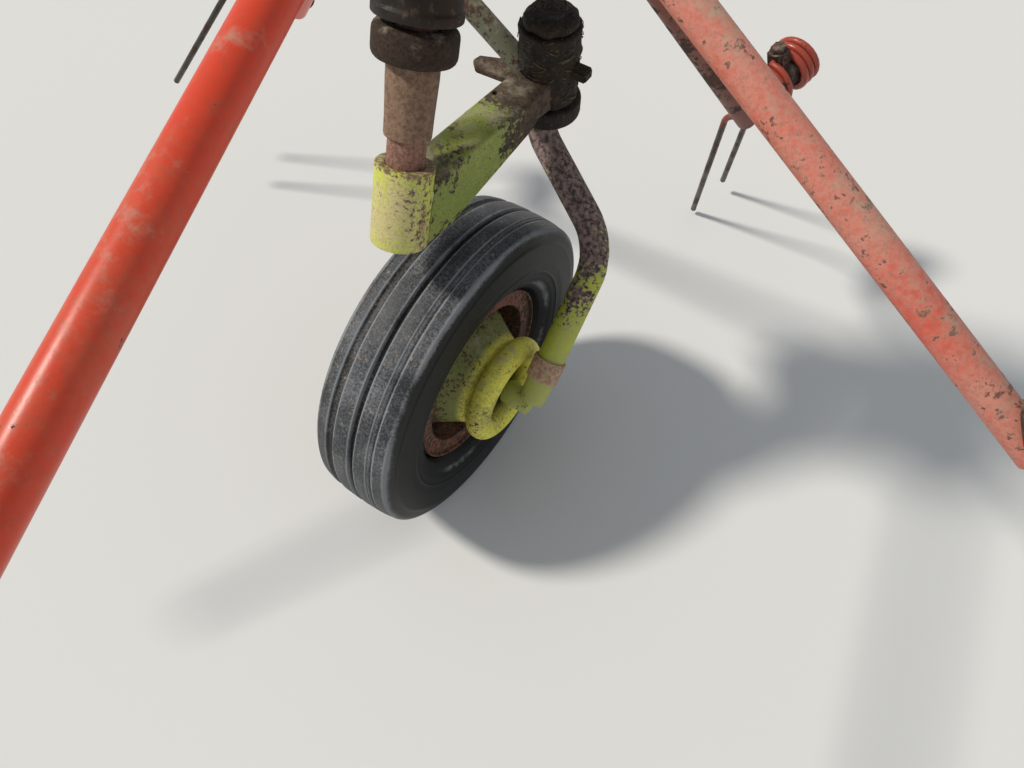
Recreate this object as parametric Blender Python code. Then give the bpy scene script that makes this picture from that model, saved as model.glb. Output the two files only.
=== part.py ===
"""Rotor unit of a towed hay tedder, with the swivelling wheel that carries it.

Metres, +Z up, +Y the way the machine is towed, +X outboard.
The origin is the middle of the outboard beam flange's outer face, which bolts to the machine's beam.
"""

import math

import bmesh
import bpy
from mathutils import Matrix, Vector

# Clearances
SEAT = 0.0003            # gap between faces that rest on each other
TURNING_GAP = 0.0055     # gap between pieces that turn past each other
BEARING_GAP = 0.0008     # gap all round a shaft in its bearing
PAST = 0.010             # how far a cutter runs past the face it cuts

# Rotor axle, which leans forward at the top
TILT = math.radians(23.3)
AXLE_DROP = 0.430        # gearbox centre down to the middle of the bracket's sleeve
AXLE_RADIUS = 0.018
AXLE_FOOT = -0.036       # heights on the axle are counted from the sleeve's middle
AXLE_HOLE_RADIUS = 0.0042
PIN_RADIUS = 0.0038
PIN_LENGTH = 0.052
PIN_DROP = 0.012

# Bevel gearbox and the flanges that bolt it into the beam
FLANGE_REACH = 0.120
FLANGE_RADIUS = 0.075
FLANGE_THICKNESS = 0.010
FLANGE_BOLTS = 4
FLANGE_BOLT_CIRCLE = 0.060
FLANGE_BOLT_HOLE = 0.0055
BOX_BELOW = 0.075
BOX_ABOVE = 0.055
BOX_PROFILE = [
    # radius, height above the gearbox's middle
    (0, -BOX_BELOW),
    (0.052, -BOX_BELOW),
    (0.058, -0.069),
    (0.058, -0.053),
    (0.078, -0.035),
    (0.078, 0.045),
    (0.072, BOX_ABOVE),
    (0, BOX_ABOVE),
]
CROSS_RADIUS = 0.046
LID_HEIGHT = 0.018
LID_PROFILE = [
    # radius, height above the housing
    (0, 0),
    (0.070, 0),
    (0.070, 0.007),
    (0.066, 0.010),
    (0.040, 0.010),
    (0.034, LID_HEIGHT),
    (0, LID_HEIGHT),
]
PLUG_PROFILE = [
    # radius, height above the lid
    (0, 0),
    (0.012, 0),
    (0.012, 0.008),
    (0.007, 0.014),
    (0, 0.014),
]

# Casting and dust cup above the sleeve
SLEEVE_RADIUS = 0.028
SLEEVE_BOTTOM = -0.041
SLEEVE_TOP = 0.038
CASTING_BOTTOM = 0.064
CASTING_TOP = 0.129
CASTING_LOW_RADIUS = 0.02175
CASTING_HIGH_RADIUS = 0.0235
CUP_TOP = 0.1585
CUP_RADIUS = 0.037
CUP_ROUNDING = 0.009

# Rotor head and its arms
ARMS = 5
ARM_PHASE = math.radians(-9.1)   # the first arm's turn round the axle, from outboard
CONE = math.radians(32.0)
APEX_RISE = 0.367
BARREL_RADIUS = 0.0365
BARREL_LIP = 0.0385
BARREL_LIP_HEIGHT = 0.008
HEAD_RADIUS = 0.140
HEAD_PLATE = 0.010
HEAD_NECK_RADIUS = 0.050
HEAD_UNDER_RADIUS = 0.052
HEAD_FILLET_HEIGHT = 0.045
SOCKET_RADIUS = 0.021
SOCKET_START = 0.058
SOCKET_END = 0.185
SOCKET_FLOOR = 0.088
SOCKET_SIDES = 16
ARM_RADIUS = 0.014
ARM_REACH = 0.650
ARM_SIDES = 16

# Double spring tines
SPOOL_RADIUS = 0.0215
SPOOL_LENGTH = 0.122
SPOOL_INSET = 0.024
COIL_TILT = math.radians(35.0)
COIL_RADIUS = 0.029
COIL_MIDDLE = 0.074
COIL_TURNS = 2 + 150 / 360
COIL_STEPS = 8
WIRE_RADIUS = 0.00475
WIRE_SIDES = 6
WIRE_PITCH = 0.0108
BRIDGE_LENGTH = 0.026
UPPER_LEG = 0.088
LOWER_LEG = 0.285
LEG_START_ANGLE = math.radians(30.0)
LEG_END_ANGLE = math.radians(70.0)
LEG_BEND_RADIUS = 0.032
CLAMP_WIDTH = 0.024
CLAMP_LENGTH = 0.019
CLAMP_TOP = 0.0405
CLAMP_TUNNEL = 0.0056
CLAMP_BOLT_RADIUS = 0.0105
CLAMP_BOLT_HEIGHT = 0.008
CLAMP_SUNK = 0.016       # how deep the clamp starts inside the spool
SPOOL_SIDES = 16

# Bracket arm from the sleeve to the swivel post
POST_FORWARD = 0.209
POST_OUTBOARD = 0.060
BRACKET_WIDTH = 0.044
BRACKET_SHEET = 0.004
BRACKET_SIDE = [
    # along, height above the sleeve's middle
    (0.002, 0.018),
    (0.050, 0.0195),
    (0.205, 0.0255),
    (0.205, -0.005),
    (0.176, -0.005),
    (0.161, -0.014),
    (0.040, -0.048),
    (-0.020, -0.048),
]
BRACKET_HOLE = (-0.015, 0.150, 0.003)     # side, along, radius

# Swivel post, counted from the height of the wheel's centre
SLEEVE_HEIGHT = 0.297
POST_RADIUS = 0.031
POST_BOTTOM = 0.2875
POST_TOP = 0.368
COLLAR_RADIUS = 0.036
COLLAR_BOTTOM = 0.266
COLLAR_FLOOR = 0.2845    # the swivel pin stands on this
SWIVEL_GAP = 0.001
SWIVEL_PIN_RADIUS = 0.016
CAP_RADIUS = 0.027
CAP_HEIGHT = 0.014
LUG = (0.022, 0.016, 0.012)
LATCH_PLATE = [
    # inboard, forward
    (0.000, -0.018),
    (0.040, -0.018),
    (0.078, -0.022),
    (0.088, -0.012),
    (0.086, -0.002),
    (0.062, 0.008),
    (0.000, 0.020),
]
LATCH_HEIGHT = 0.2920
LATCH_THICKNESS = 0.007
LEVER_RADIUS = 0.012
LEVER_PATH = [
    # outboard, forward, height
    (-0.010, -0.006, 0.3017),
    (-0.112, -0.006, 0.3685),
]

# Wheel leg: a bent tube from the post to the axle
WHEEL_YAW = math.radians(9.4)
POST_OFFSET = 0.025
TRAIL = 0.190
LEG_RADIUS = 0.01685
LEG_SIDES = 16
LEG_BENDS = [0.035, 0.080]
LEG_CORNERS = [
    # outboard of the wheel frame's origin, forward, height
    (0.018, 0.190, 0.2657),
    (0.018, 0.190, 0.2320),
    (0.1375, 0.141, 0.1580),
    (0.1355, -0.002, 0.0085),
]
BOSS_RADIUS = 0.0150
BOSS_START = 0.0990
AXLE_PIN_RADIUS = 0.0125
AXLE_PIN_INNER = -0.050
STRAP_CENTRE = 0.048     # from the lower end of the leg
STRAP_LENGTH = 0.028
STRAP_THICKNESS = 0.0030

# Wheel
RIM_RADIUS = 0.1000
RIM_SHEET = 0.003
RIM_HALF_WIDTH = 0.0397
RIM_SEAT_X = 0.0320      # where the rim turns out to its flange
RIM_FLANGE_RADIUS = 0.1195
GUARD_ROOT_X = 0.004
BEAD_X = 0.0950
BEAD_RING_RADIUS = 0.0560
BEAD_TUBE_RADIUS = 0.0155
GUARD_SHEET = 0.003
GUARD_STRAIGHT = 0.010
GUARD_WAIST = (0.0720, 0.052)
GUARD_NECK_X = 0.076
BEAD_STEPS = 8
GUARD_GAPS = 3
GUARD_GAP_AZIMUTH = math.radians(-12.0)
GUARD_GAP_DEPTH = 0.010
GUARD_GAP_HALF = 0.030
GUARD_GAP_END_X = 0.046
HUB_RADIUS = 0.024
HUB_INNER = -0.038
HUB_OUTER = 0.084
WEB_SHEET = 0.004
WEB_PROFILE = [
    # radius, outboard of the wheel frame's origin; the rim's edge is added to this
    (HUB_RADIUS + SEAT, -0.014),
    (0.045, -0.014),
    (0.062, -0.006),
]
WEB_EDGE_X = -0.006
TYRE_MIDDLE = 0.021      # the tyre's and rim's middle plane, outboard of the wheel frame's origin
TYRE_PROFILE = [
    # outboard of the tyre's middle plane, radius
    (-0.0317, 0.1003),
    (-0.0317, 0.1210),
    (-0.0440, 0.1260),
    (-0.0530, 0.1430),
    (-0.0560, 0.1640),
    (-0.0550, 0.1850),
    (-0.0510, 0.2000),
    (-0.0450, 0.2050),
    (-0.0320, 0.2078),
    (-0.0295, 0.2040),
    (-0.0230, 0.2042),
    (-0.0205, 0.2090),
    (0.0010, 0.2098),
    (0.0030, 0.2030),
    (0.0070, 0.2030),
    (0.0090, 0.2098),
    (0.0240, 0.2092),
    (0.0410, 0.2075),
    (0.0490, 0.2055),
    (0.0535, 0.2000),
    (0.0560, 0.1850),
    (0.0565, 0.1640),
    (0.0545, 0.1430),
    (0.0450, 0.1260),
    (0.0317, 0.1210),
    (0.0317, 0.1003),
]
ROUND_SIDES = 28
TYRE_SIDES = 40
HEAD_SIDES = 32


def clear_scene():
    """Remove whatever the file holds, so that the model starts empty."""
    for thing in list(bpy.data.objects):
        bpy.data.objects.remove(thing, do_unlink=True)


def material(name, colour, roughness, metallic):
    """Make a plain Principled material."""
    made = bpy.data.materials.new(name)
    made.use_nodes = True
    made.diffuse_color = (*colour, 1.0)
    shader = made.node_tree.nodes["Principled BSDF"]
    shader.inputs["Base Color"].default_value = (*colour, 1.0)
    shader.inputs["Roughness"].default_value = roughness
    shader.inputs["Metallic"].default_value = metallic
    return made


def empty(name, parent=None, location=(0, 0, 0), rotation=(0, 0, 0)):
    """Make a frame that pieces are placed in."""
    made = bpy.data.objects.new(name, None)
    bpy.context.scene.collection.objects.link(made)
    made.parent = parent
    made.location = location
    made.rotation_euler = rotation
    return made


def piece(name, shape, parent, finish, smooth_under=40.0):
    """Turn a bmesh into a named object in its parent's frame."""
    mesh = bpy.data.meshes.new(name)
    bmesh.ops.recalc_face_normals(shape, faces=shape.faces)
    shape.to_mesh(mesh)
    shape.free()
    mesh.shade_smooth()
    mesh.set_sharp_from_angle(angle=math.radians(smooth_under))
    made = bpy.data.objects.new(name, mesh)
    bpy.context.scene.collection.objects.link(made)
    made.parent = parent
    if finish:
        mesh.materials.append(finish)
    return made


def copy_of(source, name, parent):
    """Place another object that shares a mesh."""
    made = bpy.data.objects.new(name, source.data)
    bpy.context.scene.collection.objects.link(made)
    made.parent = parent
    return made


def boolean(target, shape, operation, parent, name):
    """Join a guide to a piece or cut it away. The guide itself isn't part of the model."""
    guide = piece(name, shape, parent, None)
    guide.hide_render = True
    guide.display_type = "WIRE"
    step = target.modifiers.new(name, "BOOLEAN")
    step.operation = operation
    step.solver = "EXACT"
    step.object = guide


def ring_point(axis, radius, height, angle):
    """A point on a circle round the X or the Z axis."""
    across = radius * math.cos(angle)
    up = radius * math.sin(angle)
    if axis == "X":
        return Vector((height, across, up))
    return Vector((across, up, height))


def lathe(profile, sides=ROUND_SIDES, axis="Z", closed=False):
    """Turn (radius, height) points round an axis. A closed profile makes a ring with a bore."""
    shape = bmesh.new()
    rings = []
    for radius, height in profile:
        if radius == 0:
            rings.append([shape.verts.new(ring_point(axis, 0, height, 0))])
            continue
        angles = [2 * math.pi * i / sides for i in range(sides)]
        rings.append([shape.verts.new(ring_point(axis, radius, height, a)) for a in angles])
    pairs = list(zip(rings, rings[1:]))
    if closed:
        pairs.append((rings[-1], rings[0]))
    for low, high in pairs:
        for i in range(sides):
            j = (i + 1) % sides
            if len(low) == 1:
                shape.faces.new((low[0], high[i], high[j]))
            elif len(high) == 1:
                shape.faces.new((low[i], low[j], high[0]))
            else:
                shape.faces.new((low[i], low[j], high[j], high[i]))
    if not closed:
        for ring in (rings[0], rings[-1]):
            if len(ring) > 1:
                shape.faces.new(ring)
    return shape


def raised(profile, height):
    """The same profile, moved along its axis."""
    return [(radius, low + height) for radius, low in profile]


def rod(shape, start, end, radius, sides):
    """Add a straight closed bar between two points to a shape."""
    return tube(shape, [Vector(start), Vector(end)], radius, sides)


def tube(shape, path, radius, sides):
    """Add a closed round bar along a path to a shape. Its rings don't twist."""
    points = [Vector(p) for p in path]
    heading = (points[1] - points[0]).normalized()
    across = heading.orthogonal().normalized()
    rings = []
    for i, point in enumerate(points):
        before = points[i] - points[i - 1] if i else points[1] - points[0]
        after = points[i + 1] - points[i] if i + 1 < len(points) else before
        new_heading = (before.normalized() + after.normalized()).normalized()
        across.rotate(heading.rotation_difference(new_heading))
        heading = new_heading
        across = (across - heading * across.dot(heading)).normalized()
        other = heading.cross(across)
        ring = []
        for k in range(sides):
            angle = 2 * math.pi * k / sides
            offset = radius * (math.cos(angle) * across + math.sin(angle) * other)
            ring.append(shape.verts.new(point + offset))
        rings.append(ring)
    for low, high in zip(rings, rings[1:]):
        for i in range(sides):
            j = (i + 1) % sides
            shape.faces.new((low[i], low[j], high[j], high[i]))
    shape.faces.new(list(reversed(rings[0])))
    shape.faces.new(rings[-1])
    return shape


def block(shape, low, high):
    """Add a box between two corners to a shape."""
    size = Vector(high) - Vector(low)
    middle = (Vector(high) + Vector(low)) / 2
    place = Matrix.Translation(middle) @ Matrix.Diagonal((*size, 1.0))
    bmesh.ops.create_cube(shape, size=1.0, matrix=place)
    return shape


def prism(outline, place):
    """Make a plate from an outline. place gives the two 3-D points of each outline point."""
    shape = bmesh.new()
    sides = [place(*point) for point in outline]
    low = [shape.verts.new(pair[0]) for pair in sides]
    high = [shape.verts.new(pair[1]) for pair in sides]
    shape.faces.new(low)
    shape.faces.new(list(reversed(high)))
    for i in range(len(outline)):
        j = (i + 1) % len(outline)
        shape.faces.new((low[i], high[i], high[j], low[j]))
    return shape


def bent_path(corners, bend_radii, steps=4):
    """Round the corners of a path, as a tube bender does. Each inner corner has its own radius."""
    corners = [Vector(c) for c in corners]
    path = [corners[0]]
    for before, corner, after, bend_radius in zip(corners, corners[1:], corners[2:], bend_radii):
        way_in = (corner - before).normalized()
        way_out = (after - corner).normalized()
        turn = way_in.angle(way_out)
        tangent = bend_radius * math.tan(turn / 2)
        start = corner - way_in * tangent
        inward = (way_out - way_in * way_out.dot(way_in)).normalized()
        centre = start + inward * bend_radius
        for k in range(steps + 1):
            angle = turn * k / steps
            path.append(centre + bend_radius * (math.sin(angle) * way_in - math.cos(angle) * inward))
    path.append(corners[-1])
    return path


def arm_point(along, out=0.0):
    """A point on the first arm's axis, in the rotor's frame, raised square to the arm."""
    radius = along * math.cos(CONE) + out * math.sin(CONE)
    height = APEX_RISE - along * math.sin(CONE) + out * math.cos(CONE)
    return Vector((radius, 0.0, height))


def build_gearbox(axle, finish):
    """Cast bevel gearbox, its lid and plug, and the two beam flanges."""
    middle = AXLE_DROP
    housing = piece("gearbox_housing", lathe(raised(BOX_PROFILE, middle)), axle, finish)
    reach = FLANGE_REACH - FLANGE_THICKNESS - SEAT
    cross = rod(bmesh.new(), (-reach, 0, middle), (reach, 0, middle), CROSS_RADIUS, 24)
    boolean(housing, cross, "UNION", axle, "gearbox_cross_guide")

    lid_low = middle + BOX_ABOVE + SEAT
    piece("gearbox_lid", lathe(raised(LID_PROFILE, lid_low)), axle, finish)
    plug_low = lid_low + LID_HEIGHT + SEAT
    piece("oil_plug", lathe(raised(PLUG_PROFILE, plug_low), 6), axle, finish)


def build_flange(name, side, beam, finish):
    """Round beam flange with its bolt holes. side is 1 outboard and -1 inboard."""
    outer = side * FLANGE_REACH - FLANGE_REACH
    inner = outer - side * FLANGE_THICKNESS
    profile = [(0, inner), (FLANGE_RADIUS, inner), (FLANGE_RADIUS, outer), (0, outer)]
    flange = piece(name, lathe(profile, axis="X"), beam, finish)
    holes = bmesh.new()
    for i in range(FLANGE_BOLTS):
        angle = 2 * math.pi * (i + 0.5) / FLANGE_BOLTS
        start = ring_point("X", FLANGE_BOLT_CIRCLE, inner - side * PAST, angle)
        end = ring_point("X", FLANGE_BOLT_CIRCLE, outer + side * PAST, angle)
        rod(holes, start, end, FLANGE_BOLT_HOLE, 12)
    boolean(flange, holes, "DIFFERENCE", beam, name + "_holes")


def pin_hole():
    """Cutter for the cross pin's hole through the sleeve and the axle."""
    reach = SLEEVE_RADIUS + PAST
    return rod(bmesh.new(), (-reach, 0, -PIN_DROP), (reach, 0, -PIN_DROP), AXLE_HOLE_RADIUS, 12)


def build_axle(axle, rusty, cast, green):
    """Fixed axle, its casting and dust cup, and the sleeve of the wheel bracket."""
    top = AXLE_DROP - BOX_BELOW - SEAT
    profile = [
        (0, AXLE_FOOT),
        (AXLE_RADIUS - 0.002, AXLE_FOOT),
        (AXLE_RADIUS, AXLE_FOOT + 0.002),
        (AXLE_RADIUS, top),
        (0, top),
    ]
    column = piece("axle_column", lathe(profile), axle, rusty)
    boolean(column, pin_hole(), "DIFFERENCE", axle, "axle_pin_hole")

    bore = AXLE_RADIUS + SEAT
    casting = [
        (bore, CASTING_BOTTOM),
        (CASTING_LOW_RADIUS - 0.001, CASTING_BOTTOM),
        (CASTING_LOW_RADIUS, CASTING_BOTTOM + 0.002),
        (CASTING_HIGH_RADIUS, CASTING_TOP),
        (bore, CASTING_TOP),
    ]
    piece("column_casting", lathe(casting, closed=True), axle, rusty)

    cup_low = CASTING_TOP + SEAT
    cup = [(bore, cup_low), (CUP_RADIUS - CUP_ROUNDING, cup_low)]
    for k in range(1, 5):
        angle = math.pi / 2 * k / 4
        radius = CUP_RADIUS - CUP_ROUNDING + CUP_ROUNDING * math.sin(angle)
        cup.append((radius, cup_low + CUP_ROUNDING * (1 - math.cos(angle))))
    cup += [(CUP_RADIUS, CUP_TOP), (bore, CUP_TOP)]
    piece("dust_cup", lathe(cup, closed=True), axle, cast)

    sleeve = [
        (bore, SLEEVE_BOTTOM),
        (SLEEVE_RADIUS - 0.0015, SLEEVE_BOTTOM),
        (SLEEVE_RADIUS, SLEEVE_BOTTOM + 0.0015),
        (SLEEVE_RADIUS, SLEEVE_TOP - 0.0015),
        (SLEEVE_RADIUS - 0.0015, SLEEVE_TOP),
        (bore, SLEEVE_TOP),
    ]
    sleeve_piece = piece("bracket_sleeve", lathe(sleeve, closed=True), axle, green)
    boolean(sleeve_piece, pin_hole(), "DIFFERENCE", axle, "sleeve_pin_hole")

    half = PIN_LENGTH / 2
    pin = rod(bmesh.new(), (-half, 0, -PIN_DROP), (half, 0, -PIN_DROP), PIN_RADIUS, 12)
    piece("cross_pin", pin, axle, rusty)


def build_rotor_head(rotor, finish):
    """Turning hub: a barrel round the axle, a coned plate, and a socket for each arm."""
    bore = AXLE_RADIUS + BEARING_GAP
    bottom = CUP_TOP + TURNING_GAP
    top = AXLE_DROP - BOX_BELOW - TURNING_GAP
    slope = math.tan(CONE)
    half = HEAD_PLATE / 2 / math.cos(CONE)
    over = APEX_RISE + half
    under = APEX_RISE - half
    profile = [
        (bore, bottom),
        (BARREL_LIP, bottom),
        (BARREL_LIP, bottom + BARREL_LIP_HEIGHT),
        (BARREL_RADIUS, bottom + BARREL_LIP_HEIGHT + 0.002),
        (BARREL_RADIUS, under - HEAD_UNDER_RADIUS * slope - HEAD_FILLET_HEIGHT),
        (HEAD_UNDER_RADIUS, under - HEAD_UNDER_RADIUS * slope),
        (HEAD_RADIUS, under - HEAD_RADIUS * slope),
        (HEAD_RADIUS, over - HEAD_RADIUS * slope),
        (HEAD_NECK_RADIUS, over - HEAD_NECK_RADIUS * slope),
        (HEAD_NECK_RADIUS, top),
        (bore, top),
    ]
    head = piece("rotor_head", lathe(profile, HEAD_SIDES, closed=True), rotor, finish)
    sockets = bmesh.new()
    bores = bmesh.new()
    for i in range(ARMS):
        turn = Matrix.Rotation(2 * math.pi * i / ARMS, 3, "Z")
        start = turn @ arm_point(SOCKET_START)
        rod(sockets, start, turn @ arm_point(SOCKET_END), SOCKET_RADIUS, SOCKET_SIDES)
        mouth = turn @ arm_point(SOCKET_END + PAST)
        rod(bores, turn @ arm_point(SOCKET_FLOOR), mouth, ARM_RADIUS + 2 * SEAT, ARM_SIDES)
    boolean(head, sockets, "UNION", rotor, "socket_guide")
    boolean(head, bores, "DIFFERENCE", rotor, "socket_bore_guide")


def tine_frame():
    """The coil's axis, the way the rotor turns and the way the tines hang, on the first arm."""
    coil_axis = Vector((math.cos(COIL_TILT), 0, math.sin(COIL_TILT)))
    turning = Vector((0, 1, 0))
    hanging = Vector((math.sin(COIL_TILT), 0, -math.cos(COIL_TILT)))
    return coil_axis, turning, hanging


def tine_wire():
    """Centre line of a double tine: leg, coil, bridge, coil and leg, as one wire."""
    coil_axis, turning, hanging = tine_frame()
    base = arm_point(ARM_REACH - SPOOL_INSET)

    def on_coil(angle, along, radius=COIL_RADIUS):
        return base + along * coil_axis + radius * (math.cos(angle) * turning + math.sin(angle) * hanging)

    half = []
    steps = round(COIL_TURNS * COIL_STEPS)
    for k in range(steps + 1):
        angle = -math.pi / 2 - 2 * math.pi * COIL_TURNS * k / steps
        shift = BRIDGE_LENGTH / 2 + WIRE_PITCH * COIL_TURNS * k / steps
        half.append((angle, shift))
    end_angle, end_shift = half[-1]
    start_way = math.cos(LEG_START_ANGLE) * turning + math.sin(LEG_START_ANGLE) * hanging
    end_way = math.cos(LEG_END_ANGLE) * turning + math.sin(LEG_END_ANGLE) * hanging

    def leg(side):
        along = COIL_MIDDLE + side * end_shift
        start = on_coil(end_angle, along)
        knee = start + UPPER_LEG * start_way
        tip = knee + LOWER_LEG * end_way
        return bent_path([start, knee, tip], [LEG_BEND_RADIUS])[1:]

    near = [on_coil(angle, COIL_MIDDLE - shift) for angle, shift in half]
    far = [on_coil(angle, COIL_MIDDLE + shift) for angle, shift in half]
    return list(reversed(leg(-1))) + list(reversed(near)) + far + leg(1)


def spool_shape():
    """The tine's spool, with its foot cut flat to sit on the arm."""
    coil_axis, turning, hanging = tine_frame()
    base = arm_point(ARM_REACH - SPOOL_INSET)
    square = Vector((math.sin(CONE), 0, math.cos(CONE)))
    shape = bmesh.new()
    low = []
    high = []
    for k in range(SPOOL_SIDES):
        angle = 2 * math.pi * k / SPOOL_SIDES
        offset = SPOOL_RADIUS * (math.cos(angle) * turning + math.sin(angle) * hanging)
        foot = (ARM_RADIUS + SEAT - offset.dot(square)) / coil_axis.dot(square)
        low.append(shape.verts.new(base + offset + foot * coil_axis))
        high.append(shape.verts.new(base + offset + SPOOL_LENGTH * coil_axis))
    shape.faces.new(low)
    shape.faces.new(high)
    for i in range(SPOOL_SIDES):
        j = (i + 1) % SPOOL_SIDES
        shape.faces.new((low[i], low[j], high[j], high[i]))
    return shape


def in_tine_frame(shape):
    """Move a shape from coil axis, turning and rising coordinates to the rotor's frame."""
    coil_axis, turning, hanging = tine_frame()
    base = arm_point(ARM_REACH - SPOOL_INSET) + COIL_MIDDLE * coil_axis
    rising = -hanging
    place = Matrix.Identity(4)
    for column, vector in enumerate((coil_axis, turning, rising)):
        for row in range(3):
            place[row][column] = vector[row]
    place.translation = base
    bmesh.ops.transform(shape, matrix=place, verts=shape.verts)
    return shape


def build_tine_holder(rotor, finish):
    """Spool with the clamp that holds the tine's bridge, on the first arm."""
    holder = piece("tine_holder_1", spool_shape(), rotor, finish)
    half_length = CLAMP_LENGTH / 2
    half_width = CLAMP_WIDTH / 2
    low = (-half_length, -half_width, CLAMP_SUNK)
    high = (half_length, half_width, CLAMP_TOP)
    clamp = in_tine_frame(block(bmesh.new(), low, high))
    boolean(holder, clamp, "UNION", rotor, "clamp_guide")
    start = (0, 0, CLAMP_TOP - 0.002)
    end = (0, 0, CLAMP_TOP + CLAMP_BOLT_HEIGHT)
    head = in_tine_frame(rod(bmesh.new(), start, end, CLAMP_BOLT_RADIUS, 6))
    boolean(holder, head, "UNION", rotor, "clamp_bolt_guide")
    start = (-half_length - PAST, 0, COIL_RADIUS)
    end = (half_length + PAST, 0, COIL_RADIUS)
    tunnel = in_tine_frame(rod(bmesh.new(), start, end, CLAMP_TUNNEL, 12))
    boolean(holder, tunnel, "DIFFERENCE", rotor, "clamp_tunnel_guide")
    return holder


def applied(source):
    """Bake an object's modifiers into a mesh that copies can share."""
    graph = bpy.context.evaluated_depsgraph_get()
    source.data = bpy.data.meshes.new_from_object(source.evaluated_get(graph))
    source.modifiers.clear()


def build_arms(rotor, red, steel):
    """Arms, tine holders and double tines, the same on every arm."""
    arm_shape = rod(bmesh.new(), arm_point(SOCKET_FLOOR + SEAT), arm_point(ARM_REACH), ARM_RADIUS, ARM_SIDES)
    arm = piece("arm_1", arm_shape, rotor, red)
    holder = build_tine_holder(rotor, steel)
    applied(holder)
    wire = tube(bmesh.new(), tine_wire(), WIRE_RADIUS, WIRE_SIDES)
    tine = piece("tine_1", wire, rotor, steel, 60.0)
    for i in range(1, ARMS):
        for first in (arm, holder, tine):
            other = copy_of(first, first.name[:-1] + str(i + 1), rotor)
            other.rotation_euler = (0, 0, 2 * math.pi * i / ARMS)


def post_cut():
    """Cutter that leaves room for the swivel housing."""
    return rod(bmesh.new(), (0, 0, 0.1), (0, 0, 0.5), POST_RADIUS + SEAT * 2, ROUND_SIDES)


def build_bracket(bracket, axle, post, green):
    """Folded sheet arm, open below, from the sleeve to the swivel post."""
    half = BRACKET_WIDTH / 2

    def outer_wall(along, height):
        return Vector((-half, along, height)), Vector((half, along, height))

    def inner_wall(along, height):
        inside = half - BRACKET_SHEET
        lowered = height - BRACKET_SHEET if height > 0 else height - PAST
        return Vector((-inside, along, lowered)), Vector((inside, along, lowered))

    arm = piece("bracket_arm", prism(BRACKET_SIDE, outer_wall), bracket, green)
    boolean(arm, prism(BRACKET_SIDE, inner_wall), "DIFFERENCE", bracket, "bracket_inside")
    round_sleeve = rod(bmesh.new(), (0, 0, -0.15), (0, 0, 0.15), SLEEVE_RADIUS + SEAT * 2, ROUND_SIDES)
    boolean(arm, round_sleeve, "DIFFERENCE", axle, "bracket_sleeve_cut")
    boolean(arm, post_cut(), "DIFFERENCE", post, "bracket_post_cut")
    side, along, radius = BRACKET_HOLE
    hole = rod(bmesh.new(), (side, along, 0), (side, along, 0.05), radius, 12)
    boolean(arm, hole, "DIFFERENCE", bracket, "bracket_small_hole")


def build_post(post, dark, rusty, green):
    """Housing that the swivel pin turns in, with its cap, latch plate and lever."""
    bore = SWIVEL_PIN_RADIUS + BEARING_GAP
    profile = [
        (bore, POST_BOTTOM),
        (POST_RADIUS - 0.002, POST_BOTTOM),
        (POST_RADIUS, POST_BOTTOM + 0.002),
        (POST_RADIUS, POST_TOP - 0.003),
        (POST_RADIUS - 0.003, POST_TOP),
        (bore, POST_TOP),
    ]
    housing = piece("swivel_housing", lathe(profile, closed=True), post, dark)
    middle = (POST_BOTTOM + POST_TOP) / 2
    length, width, height = LUG
    low = (POST_RADIUS - 0.006, -width / 2, middle - height / 2)
    high = (POST_RADIUS - 0.006 + length, width / 2, middle + height / 2)
    boolean(housing, block(bmesh.new(), low, high), "UNION", post, "housing_lug")

    cap_low = POST_TOP + SEAT
    cap = [
        (0, cap_low),
        (CAP_RADIUS, cap_low),
        (CAP_RADIUS, cap_low + CAP_HEIGHT * 0.6),
        (CAP_RADIUS * 0.75, cap_low + CAP_HEIGHT),
        (0, cap_low + CAP_HEIGHT),
    ]
    piece("swivel_cap", lathe(cap), post, dark)

    def plate(inboard, forward):
        low = Vector((-inboard, forward, LATCH_HEIGHT))
        return low, low + Vector((0, 0, LATCH_THICKNESS))

    latch = piece("latch_plate", prism(LATCH_PLATE, plate), post, rusty)
    boolean(latch, post_cut(), "DIFFERENCE", post, "latch_post_cut")


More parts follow.
